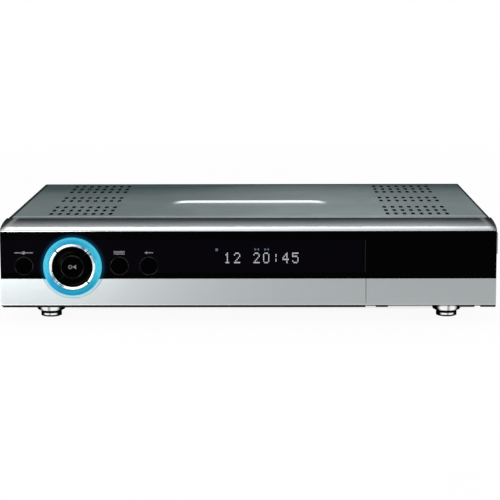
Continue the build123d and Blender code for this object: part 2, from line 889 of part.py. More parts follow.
magnet_front = wall_back + strike_t + corner_gap
with BuildPart() as door_magnet:
    block(about(door_middle_x, magnet_width), (magnet_front, bay_depth), magnet_z)
finish(door_magnet, "door_magnet")

# ================================================================ slot panel behind the door
panel_z = (bezel_floor_top + fit, window_top)
with BuildPart() as slot_panel:
    block((seam_x + fit, panel_right), (bay_depth, panel_back), panel_z)
    # Ceiling over the bay, over the magnet.
    ceiling_z = (window_top - ceiling_t, window_top - fit)
    block((seam_x + fit, panel_right), (magnet_front, bay_depth), ceiling_z)
    # Lug that carries the right hinge pin.
    cross_rod(lug_x, hinge_depth, hinge_z, knuckle_r)
    block(lug_x, (hinge_depth, bay_depth), (hinge_z - knuckle_r, hinge_z + knuckle_r))
    cross_rod(lug_x, hinge_depth, hinge_z, hinge_pin_r, Mode.SUBTRACT)
    panel_depths = (bay_depth, panel_back)
    for slot_z in (ci_lower_z, ci_upper_z):
        slot_x = about(ci_x, ci_slot_width)
        block(slot_x, panel_depths, about(slot_z, ci_slot_height), Mode.SUBTRACT)
        rod_x = about(eject_x, eject_width + 2 * button_fit)
        block(rod_x, panel_depths, about(slot_z, eject_height + 2 * button_fit), Mode.SUBTRACT)
    block(about(ci_x, card_slot_width), panel_depths, about(card_z, card_slot_height), Mode.SUBTRACT)
finish(slot_panel, "slot_panel")

# ================================================================ common-interface cage
cage_x = about(ci_x, ci_slot_width + 2 * cage_wall)
cage_bottom = ci_lower_z - ci_slot_height / 2 - cage_wall
cage_top = ci_upper_z + ci_slot_height / 2 + cage_wall
with BuildPart() as ci_slot_cage:
    block(cage_x, (panel_back, panel_back + ci_depth), (cage_bottom, cage_top))
    for slot_z in (ci_lower_z, ci_upper_z):
        mouth = (panel_back, panel_back + ci_depth - ci_end_wall)
        block(about(ci_x, ci_slot_width), mouth, about(slot_z, ci_slot_height), Mode.SUBTRACT)
    for leg_x in (cage_x[0] + cage_leg / 2, cage_x[1] - cage_leg / 2):
        for leg_depth in (panel_back + cage_leg_depth, panel_back + ci_depth - cage_leg):
            block(about(leg_x, cage_leg), about(leg_depth, cage_leg), (board_top, cage_bottom))
finish(ci_slot_cage, "ci_slot_cage")

# ================================================================ smart card reader
with BuildPart() as smart_card_reader:
    reader_depths = (panel_back, panel_back + reader_depth)
    block(cage_x, reader_depths, (cage_bottom - reader_height, cage_bottom))
    card_depths = (panel_back, panel_back + reader_depth - cage_leg)
    block(about(ci_x, card_slot_width), card_depths, about(card_z, card_slot_height), Mode.SUBTRACT)
finish(smart_card_reader, "smart_card_reader")


# ================================================================ eject buttons
def eject_button(z):
    with BuildPart() as button:
        depths = (bay_depth - eject_proud, bay_depth - eject_proud + eject_length)
        block(about(eject_x, eject_width), depths, about(z, eject_height))
        front_face = button.faces().sort_by(Axis.Y)[0]
        chamfer(front_face.edges(), length=eject_bevel)
    return button


finish(eject_button(ci_lower_z), "ci_eject_button_lower")
finish(eject_button(ci_upper_z), "ci_eject_button_upper")

# ================================================================ main board
wing_x = (cage_x[0] - wing_margin, main_x[1])
wing_front = crown_depth + board_front_gap
main_standoffs = [
    (main_x[0] + board_inset, main_depths[0] + board_inset),
    (main_x[0] + board_inset, main_depths[1] - standoff_setback),
    (wing_x[0] + board_inset, wing_front + board_inset),
    (wing_x[1] - board_inset, wing_front + board_inset),
    (wing_x[0] - board_inset, main_depths[0] + board_inset),
    (main_x[1] - board_inset, main_depths[0] + board_inset),
]
with BuildPart() as main_board:
    block(main_x, main_depths, (board_bottom, board_top))
    block(wing_x, (wing_front, main_depths[0]), (board_bottom, board_top))
    for standoff_x, depth in main_standoffs:
        post(standoff_x, depth, screw_r + screw_fit, (board_bottom, board_top), Mode.SUBTRACT)
finish(main_board, "main_board")

power_rear = body_depth - inlet_body_depth - tag_length - power_board_gap
power_depths = (crown_depth + board_front_gap, power_rear)
power_standoffs = [
    (x, depth)
    for x in (power_x[0] + board_inset, power_x[1] - board_inset)
    for depth in (power_depths[0] + board_inset, power_depths[1] - board_inset)
]
with BuildPart() as power_board:
    block(power_x, power_depths, (board_bottom, board_top))
    for standoff_x, depth in power_standoffs:
        post(standoff_x, depth, screw_r + screw_fit, (board_bottom, board_top), Mode.SUBTRACT)
finish(power_board, "power_board")

board_standoff_places = main_standoffs + power_standoffs
with BuildPart() as board_standoffs:
    for standoff_x, depth in board_standoff_places:
        with BuildSketch(Plane.XY.offset(tray_top)):
            with Locations((standoff_x, front_y + depth)):
                RegularPolygon(standoff_r, 6)
                Circle(screw_r + screw_fit, mode=Mode.SUBTRACT)
        extrude(amount=standoff_height)
finish(board_standoffs, "board_standoffs")

# ================================================================ parts on the main board
chip_x = main_x[0] + chip_inset
chip_depth = main_depths[0] + chip_setback
with BuildPart() as main_chips:
    block(about(chip_x, chip_side), about(chip_depth, chip_side), (board_top, board_top + chip_t))
    for number in range(3):
        memory_x = chip_x + chip_side + number * (memory_length + memory_gap)
        memory_z = (board_top, board_top + memory_t)
        block(about(memory_x, memory_length), about(chip_depth, memory_width), memory_z)
finish(main_chips, "main_chips")

with BuildPart() as chip_heatsink:
    sink_bottom = board_top + chip_t
    block(
        about(chip_x, chip_side), about(chip_depth, chip_side), (sink_bottom, sink_bottom + heatsink_base_t)
    )
    with BuildSketch(Plane.XY.offset(sink_bottom + heatsink_base_t)):
        with Locations((chip_x, front_y + chip_depth)):
            with GridLocations((chip_side - fin_t) / (fin_count - 1), 0, fin_count, 1):
                Rectangle(fin_t, chip_side)
    extrude(amount=heatsink_height - heatsink_base_t)
finish(chip_heatsink, "chip_heatsink")

# ================================================================ rear connectors
connector_z = board_top + rear_row_rise
f_places = [(right_x - f_inset - number * f_pitch, connector_z) for number in range(2)]
can_z = (board_top, board_top + can_height)
can_depths = (rear_inside - can_depth, rear_inside)
with BuildPart() as tuner_cans:
    for f_x, f_z in f_places:
        block(about(f_x, can_width), (can_depths[0], can_depths[1] - f_hex / 4), can_z)
finish(tuner_cans, "tuner_cans")

with BuildPart() as f_connectors:
    for f_x, f_z in f_places:
        rod(f_x, f_z, f_shank_r, (rear_inside - f_hex / 4, body_depth + nut_t))
        rod(f_x, f_z, f_thread_r, (body_depth + nut_t, body_depth + f_thread_length))
        mouth = (body_depth + nut_t, body_depth + f_thread_length)
        rod(f_x, f_z, f_bore_r, mouth, Mode.SUBTRACT)
finish(f_connectors, "f_connectors")

with BuildPart() as f_connector_nuts:
    for f_x, f_z in f_places:
        with BuildSketch(front_plane(body_depth)):
            with Locations((f_x, f_z)):
                RegularPolygon(f_hex / 2, 6, major_radius=False)
                Circle(f_shank_r, mode=Mode.SUBTRACT)
        extrude(amount=-nut_t)
finish(f_connector_nuts, "f_connector_nuts")

# The sockets between the tuners and the switch stand with equal gaps.
inlet_x = left_x + inlet_inset
switch_x = inlet_x + switch_offset
row_right = f_places[1][0] - can_width / 2
row_left = switch_x + rocker_width / 2 + 2 * switch_wall
socket_widths = (scart_pitch + scart_width, 2 * rca_pitch, serial_width)
socket_gap = (row_right - row_left - sum(socket_widths)) / (len(socket_widths) + 1)

scart_z = board_top + scart_height / 2
scart_first_x = row_right - socket_gap - scart_width / 2
scart_places = [scart_first_x - number * scart_pitch for number in range(2)]
with BuildPart() as scart_sockets:
    for scart_x in scart_places:
        depths = (body_depth - scart_body_depth, body_depth + scart_proud)
        block(about(scart_x, scart_width), depths, about(scart_z, scart_height))
        mouth = (body_depth + scart_proud - scart_mouth_depth, body_depth + scart_proud)
        block(
            about(scart_x, scart_mouth_width), mouth, about(scart_z, scart_mouth_height), Mode.SUBTRACT
        )
    corners = edges().filter_by(Axis.Y).group_by(Axis.Z)[0]
    fillet(corners, radius=scart_corner_r)
finish(scart_sockets, "scart_sockets")

rca_first_x = scart_places[1] - scart_width / 2 - socket_gap - rca_pitch / 2
rca_places = [
    (rca_first_x - column * rca_pitch, board_top + rca_pitch / 2 + row * rca_pitch)
    for column in range(2)
    for row in range(2)
]
rca_middle_x = rca_first_x - rca_pitch / 2
with BuildPart() as rca_jacks:
    block(
        about(rca_middle_x, 2 * rca_pitch),
        (rear_inside - rca_block_depth, rear_inside),
        (board_top, board_top + 2 * rca_pitch),
    )
    for rca_x, rca_z in rca_places:
        rod(rca_x, rca_z, rca_flange_r, (rear_inside, body_depth + rca_flange_t))
        rod(rca_x, rca_z, rca_outer_r, (body_depth + rca_flange_t, body_depth + rca_length))
        rod(rca_x, rca_z, rca_bore_r, (rear_inside, body_depth + rca_length), Mode.SUBTRACT)
finish(rca_jacks, "rca_jacks")

serial_x = row_left + socket_gap + serial_width / 2
serial_z = board_top + serial_height / 2
with BuildPart() as serial_port:
    block(
        about(serial_x, serial_width),
        (rear_inside - serial_body_depth, rear_inside),
        about(serial_z, serial_height),
    )
    # D-shaped shell through the rear panel.
    with BuildSketch(front_plane(rear_inside)):
        with Locations((serial_x, serial_z)):
            Trapezoid(serial_mouth_width, serial_mouth_height, serial_side_angle, rotation=180)
        fillet(vertices(), radius=serial_corner_r)
    extrude(amount=-(rear_t + serial_proud))
    inner_width = serial_mouth_width - 2 * serial_wall
    inner_height = serial_mouth_height - 2 * serial_wall
    with BuildSketch(front_plane(body_depth + serial_floor)):
        with Locations((serial_x, serial_z)):
            Trapezoid(inner_width, inner_height, serial_side_angle, rotation=180)
        fillet(vertices(), radius=serial_corner_r - serial_wall)
    extrude(amount=-serial_proud, mode=Mode.SUBTRACT)
    for side in (-1, 1):
        # Jack nuts on both sides of the shell.
        with BuildSketch(front_plane(rear_inside)):
            with Locations((serial_x + side * jack_offset, serial_z)):
                RegularPolygon(jack_r, 6)
                Circle(jack_bore_r, mode=Mode.SUBTRACT)
        extrude(amount=-(rear_t + serial_proud - jack_setback))
finish(serial_port, "serial_port")

inlet_z = connector_z
inlet_depths = (body_depth - inlet_body_depth, body_depth + inlet_lip)
with BuildPart() as mains_inlet:
    block(about(inlet_x, inlet_width), inlet_depths, about(inlet_z, inlet_height))
    with BuildSketch(front_plane(body_depth + inlet_lip - inlet_mouth_depth)):
        with Locations((inlet_x, inlet_z)):
            SlotOverall(inlet_mouth_width, inlet_mouth_height)
    extrude(amount=-inlet_mouth_depth, mode=Mode.SUBTRACT)
    for side in (-1, 1):
        pin_x = inlet_x + side * inlet_pin_pitch / 2
        mouth_floor = body_depth + inlet_lip - inlet_mouth_depth
        rod(pin_x, inlet_z, inlet_pin_r, (mouth_floor, body_depth - inlet_pin_setback))
        tag_depths = (inlet_depths[0] - tag_length, inlet_depths[0])
        block(about(pin_x, tag_width), tag_depths, about(inlet_z, tag_t))
finish(mains_inlet, "mains_inlet")

# ================================================================ mains switch
rocker_axis_depth = body_depth - rocker_setback
with BuildPart() as power_switch_body:
    outer_x = about(switch_x, rocker_width + 2 * switch_wall)
    outer_z = about(inlet_z, rocker_height + 2 * switch_wall)
    block(outer_x, (body_depth - switch_depth, body_depth), outer_z)
    flange_x = about(switch_x, rocker_width + 4 * switch_wall)
    flange_z = about(inlet_z, rocker_height + 4 * switch_wall)
    block(flange_x, (body_depth, body_depth + switch_flange), flange_z)
    well = (body_depth - switch_depth + switch_floor, body_depth + switch_flange)
    well_x = about(switch_x, rocker_width + 2 * rocker_fit)
    well_z = about(inlet_z, rocker_height + 4 * rocker_fit)
    block(well_x, well, well_z, Mode.SUBTRACT)
    # Tags at the back.
    for tag_z in (inlet_z - tag_pitch, inlet_z, inlet_z + tag_pitch):
        tag_depths = (body_depth - switch_depth - tag_length, body_depth - switch_depth)
        block(about(switch_x, tag_width), tag_depths, about(tag_z, tag_t))
    pin_x = about(switch_x, rocker_width + 2 * switch_wall)
    cross_rod(pin_x, rocker_axis_depth, inlet_z, rocker_pin_r + hinge_fit, Mode.SUBTRACT)
finish(power_switch_body, "power_switch_body")

# It rests tilted by half its swing, and its ends are rounded about the axis.
tilt = radians(-rocker_angle)
rocker_plane = Plane(
    origin=(switch_x, front_y + rocker_axis_depth, inlet_z),
    x_dir=(0, cos(tilt), sin(tilt)),
    z_dir=(1, 0, 0),
)
with BuildPart() as power_rocker:
    with BuildSketch(rocker_plane):
        Circle(rocker_height / 2)
        with Locations(((rocker_face - rocker_back) / 2, 0)):
            Rectangle(rocker_face + rocker_back, rocker_height, mode=Mode.INTERSECT)
        with Locations((rocker_face + rocker_dish_r - rocker_dish, 0)):
            Circle(rocker_dish_r, mode=Mode.SUBTRACT)
    extrude(amount=rocker_width / 2, both=True)
    with BuildSketch(rocker_plane):
        Circle(rocker_pin_r)
    extrude(amount=rocker_width / 2 + rocker_pin_reach, both=True)
finish(power_rocker, "power_rocker")

# ================================================================ rear panel
panel_top = cover_under - fit
with BuildPart() as rear_panel:
    rear_depths = (rear_inside, body_depth)
    rear_x = (-tray_half, tray_half)
    block(rear_x, rear_depths, (tray_top, panel_top))
    fillet(edges().filter_by(Axis.Y).group_by(Axis.Z)[-1], radius=cover_bend_r)
    block(rear_x, (body_depth - rear_lip, rear_inside), (tray_top, tray_top + rear_t))
    for f_x, f_z in f_places:
        rod(f_x, f_z, f_shank_r + fit, rear_depths, Mode.SUBTRACT)
    for scart_x in scart_places:
        cut_x = about(scart_x, scart_width + 2 * fit)
        block(cut_x, rear_depths, about(scart_z, scart_height + 2 * fit), Mode.SUBTRACT)
    for rca_x, rca_z in rca_places:
        rod(rca_x, rca_z, rca_flange_r + fit, rear_depths, Mode.SUBTRACT)
    cut_z = about(serial_z, serial_mouth_height + 2 * serial_wall)
    block(about(serial_x, serial_width), rear_depths, cut_z, Mode.SUBTRACT)
    cut_x = about(inlet_x, inlet_width + 2 * fit)
    block(cut_x, rear_depths, about(inlet_z, inlet_height + 2 * fit), Mode.SUBTRACT)
    cut_x = about(switch_x, rocker_width + 2 * switch_wall + 2 * fit)
    cut_z = about(inlet_z, rocker_height + 2 * switch_wall + 2 * fit)
    block(cut_x, rear_depths, cut_z, Mode.SUBTRACT)
    # Air slots along the top edge.
    with BuildSketch(front_plane(rear_inside)):
        with Locations((0, panel_top - rear_vent_drop)):
            with GridLocations(slot_pitch_x, slot_pitch_x, rear_vent_count, 1):
                SlotOverall(rear_vent_length, slot_width, rotation=90)
    extrude(amount=-rear_t, mode=Mode.SUBTRACT)
    for screw_x, depth in lip_screws:
        post(screw_x, depth, screw_r + screw_fit, (tray_top, tray_top + rear_t), Mode.SUBTRACT)
finish(rear_panel, "rear_panel")

# ================================================================ parts on the power board
core_x = power_x[0] + core_inset
core_middle = power_depths[0] + core_setback
with BuildPart() as transformer:
    block(about(core_x, core_width), about(core_middle, core_depth), (board_top, board_top + core_height))
    winding_z = (board_top + winding_rise, board_top + core_height - winding_rise)
    block(about(core_x, winding_width), about(core_middle, winding_depth), winding_z)
    fillet(edges().filter_by(Axis.X).group_by(Axis.Y)[0], radius=winding_r)
    fillet(edges().filter_by(Axis.X).group_by(Axis.Y)[-1], radius=winding_r)
finish(transformer, "transformer")

capacitor_depth = power_depths[0] + capacitor_setback
capacitor_sizes = [
    (large_capacitor_r, large_capacitor_height),
    (large_capacitor_r, large_capacitor_height),
    (small_capacitor_r, small_capacitor_height),
    (small_capacitor_r, small_capacitor_height),
]
with BuildPart() as power_capacitors:
    for number, (radius, height) in enumerate(capacitor_sizes):
        capacitor_x = power_x[0] + capacitor_inset + number * capacitor_pitch
        post(capacitor_x, capacitor_depth, radius, (board_top, board_top + height))
    tops = [face.edges()[0] for face in faces().filter_by(Axis.Z) if face.center().Z > board_top + radius]
    fillet(tops, radius=capacitor_rim)
finish(power_capacitors, "power_capacitors")

sink_x = (power_x[0] + power_x[1]) / 2
sink_depth = power_depths[1] - sink_setback
with BuildPart() as power_heatsink:
    sink_z = (board_top, board_top + sink_height)
    block(about(sink_x, sink_width), about(sink_depth, sink_t), sink_z)
    fin_pitch = (sink_width - sink_fin_t) / (fin_count - 1)
    with BuildSketch(Plane.XY.offset(board_top)):
        with Locations((sink_x, front_y + sink_depth + sink_fin_depth / 2)):
            with GridLocations(fin_pitch, sink_fin_depth, fin_count, 1):
                Rectangle(sink_fin_t, sink_fin_depth)
    extrude(amount=sink_height)
finish(power_heatsink, "power_heatsink")

fuse_x = power_x[1] - fuse_inset
fuse_middle = power_depths[1] - fuse_setback
fuse_z = board_top + fuse_rise
with BuildPart() as fuse_holder:
    rod(fuse_x, fuse_z, fuse_r, about(fuse_middle, fuse_length))
    for clip_depth in about(fuse_middle, fuse_length - clip_length):
        block(about(fuse_x, clip_width), about(clip_depth, clip_length), (board_top, fuse_z))
finish(fuse_holder, "fuse_holder")

# ================================================================ leads inside the cabinet
ribbon_x = seam_x - ribbon_inset
ribbon_z = front_board_z[0] + ribbon_rise
ribbon_end = main_depths[0] + ribbon_landing
with BuildPart() as ribbon_cable:
    with BuildSketch(Plane.YZ.offset(ribbon_x - ribbon_width / 2)):
        with BuildLine() as ribbon_line:
            FilletPolyline(
                (front_y + front_board_back, ribbon_z),
                (front_y + ribbon_end, ribbon_z),
                (front_y + ribbon_end, board_top),
                radius=ribbon_bend_r,
            )
            offset(amount=ribbon_t, side=Side.LEFT)
        make_face()
    extrude(amount=ribbon_width)
finish(ribbon_cable, "ribbon_cable")

with BuildPart() as power_harness:
    for number in range(wire_count):
        wire_y = front_y + capacitor_depth + large_capacitor_r + wire_gap + number * wire_pitch
        wire_ends = (power_x[1] - wire_landing, main_x[0] + wire_landing)
        with BuildLine():
            wire_path = FilletPolyline(
                (wire_ends[0], wire_y, board_top),
                (wire_ends[0], wire_y, board_top + wire_rise),
                (wire_ends[1], wire_y, board_top + wire_rise),
                (wire_ends[1], wire_y, board_top),
                radius=wire_bend_r,
            )
        with BuildSketch(Plane.XY.offset(board_top)):
            with Locations((wire_ends[0], wire_y)):
                Circle(wire_r)
        sweep(path=wire_path)
    # Mains leads: inlet to board, switch to board.
    lead_places = [(lead_x, inlet_depths[0]) for lead_x in about(inlet_x, inlet_pin_pitch)]
    lead_places.append((switch_x, body_depth - switch_depth))
    for lead_x, tag_back in lead_places:
        start_y = front_y + tag_back - tag_length
        end_y = front_y + power_depths[1] - lead_landing
        with BuildLine():
            lead_path = FilletPolyline(
                (lead_x, start_y, inlet_z),
                (lead_x, end_y, inlet_z),
                (lead_x, end_y, board_top),
                radius=wire_bend_r,
            )
        with BuildSketch(Plane.XZ.offset(-start_y)):
            with Locations((lead_x, inlet_z)):
                Circle(wire_r)
        sweep(path=lead_path)
finish(power_harness, "power_harness")

# ================================================================ feet
cup_bottom = pad_proud
ring_top = cup_bottom + cup_ring_height
cone_bottom = ring_top + cup_groove_height
cone_top = cone_bottom + cup_cone_height
flange_bottom = foot_height - cup_flange_t
with BuildPart() as foot_cups:
    for side in (-1, 1):
        for depth in foot_depths:
            centre = (side * foot_x, front_y + depth, 0)
            with BuildSketch(Plane(origin=centre, x_dir=(1, 0, 0), z_dir=(0, -1, 0))):
                with BuildLine():
                    Polyline(
                        (pad_r + fit, cup_bottom),
                        (cup_base_r, cup_bottom),
                        (cup_base_r, ring_top),
                        (cup_base_r - cup_groove, ring_top),
                        (cup_base_r - cup_groove, cone_bottom),
                        (cup_base_r, cone_bottom),
                        (cup_neck_r, cone_top),
                        (cup_flange_r - cup_flange_lip, flange_bottom),
                        (cup_flange_r, flange_bottom),
                        (cup_flange_r, foot_height),
                        (screw_r + screw_fit, foot_height),
                        (screw_r + screw_fit, foot_screw_seat),
                        (pad_hole_r, foot_screw_seat),
                        (pad_hole_r, pad_t),
                        (pad_r + fit, pad_t),
                        close=True,
                    )
                make_face()
            revolve(axis=Axis(centre, (0, 0, 1)))
finish(foot_cups, "foot_cups")

with BuildPart() as foot_pads:
    for side in (-1, 1):
        for depth in foot_depths:
            post(side * foot_x, depth, pad_r, (0, pad_t))
            post(side * foot_x, depth, pad_hole_r, (0, pad_t), Mode.SUBTRACT)
finish(foot_pads, "foot_pads")

# ================================================================ screws out of sight
with BuildPart() as chassis_screws:
    # Feet, front moulding and rear lip, driven up through the tray.
    for side in (-1, 1):
        for depth in foot_depths:
            post(side * foot_x, depth, screw_head_r, (foot_screw_seat - screw_head_t, foot_screw_seat))
            post(side * foot_x, depth, screw_r, (foot_screw_seat, bezel_floor_top))
    up_screws = [(boss_x, boss_depth) for boss_x in screw_bosses] + lip_screws
    for screw_x, depth in up_screws:
        post(screw_x, depth, screw_head_r, (tray_bottom - screw_head_t, tray_bottom))
        post(screw_x, depth, screw_r, (tray_bottom, bezel_floor_top + screw_bite))
    # Boards, driven down into the standoffs and forward into the bosses.
    for screw_x, depth in board_standoff_places:
        post(screw_x, depth, screw_head_r, (board_top, board_top + screw_head_t))
        post(screw_x, depth, screw_r, (board_bottom - screw_bite, board_top))
    for screw_x in board_boss_x:
        for screw_z in board_boss_z:
            rod(screw_x, screw_z, screw_head_r, (front_board_back, front_board_back + screw_head_t))
            rod(screw_x, screw_z, screw_r, (front_board_front - screw_bite, front_board_back))
finish(chassis_screws, "chassis_screws")
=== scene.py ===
# %% [markdown]
# # A satellite television receiver, dressed for the studio
# The construction of the receiver comes as a fixed frame of solids. This notebook gives every
# solid its finish, adds the small pieces that only looks need, and lights the whole thing.
# Everything is in metres. X runs right, Y runs back and Z runs up from the shelf.

# %% The frame
import json
from math import cos, pi, radians, sin, sqrt

import bmesh
import bpy
from mathutils import Matrix, Vector


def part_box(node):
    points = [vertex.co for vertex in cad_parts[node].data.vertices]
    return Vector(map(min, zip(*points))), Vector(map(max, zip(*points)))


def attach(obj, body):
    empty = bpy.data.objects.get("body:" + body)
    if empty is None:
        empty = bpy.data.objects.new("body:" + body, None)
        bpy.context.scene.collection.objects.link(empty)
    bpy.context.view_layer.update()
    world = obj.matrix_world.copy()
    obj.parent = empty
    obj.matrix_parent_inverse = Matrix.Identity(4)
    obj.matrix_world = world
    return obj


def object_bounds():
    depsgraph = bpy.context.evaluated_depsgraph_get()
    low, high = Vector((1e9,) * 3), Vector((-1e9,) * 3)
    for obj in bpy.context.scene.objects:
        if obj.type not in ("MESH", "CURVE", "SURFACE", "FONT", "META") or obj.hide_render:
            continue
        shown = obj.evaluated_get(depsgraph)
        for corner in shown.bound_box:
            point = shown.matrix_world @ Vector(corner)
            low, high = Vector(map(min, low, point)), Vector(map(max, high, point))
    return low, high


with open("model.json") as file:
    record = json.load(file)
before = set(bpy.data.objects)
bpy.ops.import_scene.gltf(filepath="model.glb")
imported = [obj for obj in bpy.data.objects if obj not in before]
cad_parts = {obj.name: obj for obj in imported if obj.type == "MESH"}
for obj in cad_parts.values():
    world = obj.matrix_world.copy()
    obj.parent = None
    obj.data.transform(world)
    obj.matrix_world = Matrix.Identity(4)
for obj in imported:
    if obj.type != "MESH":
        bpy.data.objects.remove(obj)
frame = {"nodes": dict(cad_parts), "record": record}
solid_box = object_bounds()
MM = 0.001
BODY = "chassis"

# %% [markdown]
# ## The camera
# The receiver is seen from a little above its front, through a long lens. A long lens keeps the
# edges of the cabinet nearly parallel. The camera could be aimed with a constraint, but three
# plain angles are easier to read and never change by themselves.

# %% Camera
def put(name, data):
    """An object of the scene that holds this data."""
    thing = bpy.data.objects.new(name, data)
    bpy.context.scene.collection.objects.link(thing)
    return thing


LENS, SENSOR = 129.46, 36.0
ASIDE, BEFORE, ABOVE = 14.7 * MM, 1217.2 * MM, 230.0 * MM
TURN, NOD, LEAN = radians(0.63), radians(-8.42), radians(0.16)
front_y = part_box("front_window")[0].y
camera_data = bpy.data.cameras.new("camera")
camera_data.sensor_width = SENSOR
camera_data.lens = LENS
camera_data.clip_end = 60.0
camera = put("camera", camera_data)
camera.location = (ASIDE, front_y - BEFORE, ABOVE)
level = Matrix.Rotation(radians(90), 4, "X")
aim = Matrix.Rotation(TURN, 4, "Z") @ Matrix.Rotation(NOD, 4, "X") @ Matrix.Rotation(LEAN, 4, "Y")
camera.rotation_euler = (aim @ level).to_euler()
bpy.context.scene.camera = camera
print("camera at", [round(value, 4) for value in camera.location])

# %% [markdown]
# ## Small helpers for node trees
# A finish is a graph of nodes. Writing each node by hand takes five lines, so one helper adds a
# node, sets its properties, and fills or links its sockets. What a node gives out comes back as
# a Value, and sums with a Value add the nodes for them. So a mask reads like a plain formula.

# %% Node helpers
class Value:
    """What a node gives out. Sums with it become Math nodes of the same tree."""

    def __init__(self, socket):
        self.socket, self.tree = socket, socket.id_data

    def sibling(self, key):
        """Another output of the same node."""
        return Value(self.socket.node.outputs[key])


def add(tree, kind, *values, give=0, at=None, **named):
    """Adds a node. Values fill its sockets in order, at fills them by number, and a name with a
    capital is a socket too. Other names are properties. A Value is linked."""
    node = tree.nodes.new(kind)
    sockets = {**dict(enumerate(values)), **(at or {})}
    for key, value in named.items():
        if key[0].isupper():
            sockets[key.replace("_", " ")] = value
        else:
            setattr(node, key, value)
    for key, value in sockets.items():
        if isinstance(value, Value):
            tree.links.new(value.socket, node.inputs[key])
        else:
            node.inputs[key].default_value = value
    return Value(node.outputs[give]) if node.outputs else None


def calc(operation, *values):
    """The result of a Math node."""
    tree = next(value.tree for value in values if isinstance(value, Value))
    return add(tree, "ShaderNodeMath", *values, operation=operation)


# Each sign between two values stands for one operation of the Math node.
SIGNS = {
    "__add__": "ADD", "__sub__": "SUBTRACT", "__mul__": "MULTIPLY", "__truediv__": "DIVIDE",
    "__pow__": "POWER", "__lt__": "LESS_THAN", "__gt__": "GREATER_THAN", "__abs__": "ABSOLUTE",
}
for sign, operation in SIGNS.items():
    setattr(Value, sign, lambda *values, operation=operation: calc(operation, *values))
Value.__rsub__ = lambda value, other: calc("SUBTRACT", other, value)


def larger(first, second):
    """The larger of two values: where either mask is 1."""
    return calc("MAXIMUM", first, second)


def remap(value, low, high, to_low=0.0, to_high=1.0, smooth=True):
    """Stretches low..high to to_low..to_high, held at both ends."""
    kind = "SMOOTHSTEP" if smooth else "LINEAR"
    return add(value.tree, "ShaderNodeMapRange", value, low, high, to_low, to_high, interpolation_type=kind)


def between(value, low, high, soft=0.0004):
    """A mask of the band from low to high."""
    return remap(value, low - soft, low + soft) - remap(value, high - soft, high + soft)


def edge_at(value, start, low, high):
    """The soft edge of a mask, from low to high, in millimetres from a start."""
    return remap(value, start + low * MM, start + high * MM)


def band_at(value, start, low, high, soft=0.4):
    """A mask of the band from low to high, in millimetres from a start."""
    return between(value, start + low * MM, start + high * MM, soft * MM)


def blend(mask, first, second):
    """Mixes two colours: the first where the mask is 0, the second where it is 1."""
    colours = [colour if isinstance(colour, Value) else (*colour, 1.0) for colour in (first, second)]
    at = {0: mask, 6: colours[0], 7: colours[1]}
    return add(mask.tree, "ShaderNodeMix", give=2, at=at, data_type="RGBA")


def layered(tone, *layers):
    """Lays colours over a tone, each where its own mask is 1."""
    for mask, colour in layers:
        tone = blend(mask, tone, colour)
    return tone


def place(tree, centre=(0.0, 0.0, 0.0), scale=(1.0, 1.0, 1.0)):
    """Object coordinates, measured from a centre and stretched by a scale."""
    here = add(tree, "ShaderNodeTexCoord", give="Object")
    moved = add(tree, "ShaderNodeVectorMath", here, tuple(-c for c in centre), operation="ADD")
    return add(tree, "ShaderNodeVectorMath", moved, scale, operation="MULTIPLY")


def facing(tree):
    """The direction that the surface faces."""
    return add(tree, "ShaderNodeNewGeometry", give="Normal")


def axes(vector):
    """The X, Y and Z of a vector."""
    x = add(vector.tree, "ShaderNodeSeparateXYZ", vector)
    return x, x.sibling("Y"), x.sibling("Z")


def noise(vector, scale, detail=3.0, roughness=0.55):
    """A noise value, about 0.3 to 0.7."""
    return add(vector.tree, "ShaderNodeTexNoise", Vector=vector, Scale=scale, Detail=detail,
               Roughness=roughness)


print("helpers ready")

# %% [markdown]
# ## The studio
# The real thing was shown on white, under a broad soft light from above and the left. A floor
# that is only lit never quite reaches white, and more light would bleach the silver. So the
# floor adds a little light of its own to what the camera and reflections see, and keeps the
# shadow that the lamps draw on it. The far wall is dark below and grey above: the flat top of
# the cabinet mirrors its dark part, which with the shade painted into the cover is why that top looks darker
# than the front.

# %% Floor and world
SQUARE = ((-1, -1), (1, -1), (1, 1), (-1, 1))
FLOOR_SIZE = 60.0
UNDER_FADE = 40 * MM
SEEN_UNDER_START = 45 * MM
MIRRORED_UNDER_START = 16 * MM
WHITE = (1.0, 1.0, 1.0, 1.0)
FLOOR_PAINT = (0.86, 0.86, 0.86, 1.0)
NEAR, FAR, NEAR_SHARE = 0.25, 1.6, 0.94


def empty_tree(owner):
    """The node tree of a material or a world, with nothing in it."""
    owner.use_nodes = True
    owner.node_tree.nodes.clear()
    return owner.node_tree


floor_mesh = bpy.data.meshes.new("floor")
corners = [(i * FLOOR_SIZE / 2, k * FLOOR_SIZE / 2, 0) for i, k in SQUARE]
floor_mesh.from_pydata(corners, [], [(0, 1, 2, 3)])
floor = put("floor", floor_mesh)

floor_finish = bpy.data.materials.new("studio_floor")
tree = empty_tree(floor_finish)
camera_ray = add(tree, "ShaderNodeLightPath", give="Is Camera Ray")
seen = larger(camera_ray, camera_ray.sibling("Is Transmission Ray"))
lit = add(tree, "ShaderNodeBsdfDiffuse", FLOOR_PAINT)
glow = add(tree, "ShaderNodeEmission", WHITE, 1.0)
spot = add(tree, "ShaderNodeTexCoord", give="Object")
away = add(tree, "ShaderNodeVectorMath", spot, give="Value", operation="LENGTH")
open_share = remap(away, NEAR, FAR, NEAR_SHARE, 1.0)
across, along, _ = axes(spot)
beside = remap(abs(across), solid_box[1].x, solid_box[1].x - UNDER_FADE)
before = remap(along, solid_box[1].y, solid_box[1].y - UNDER_FADE)
middle = beside * before


def open_floor(start, fade):
    """1 in the open and 0 in the core of the shadow, which starts behind the front."""
    return 1.0 - middle * remap(along, front_y + start, front_y + start + fade)


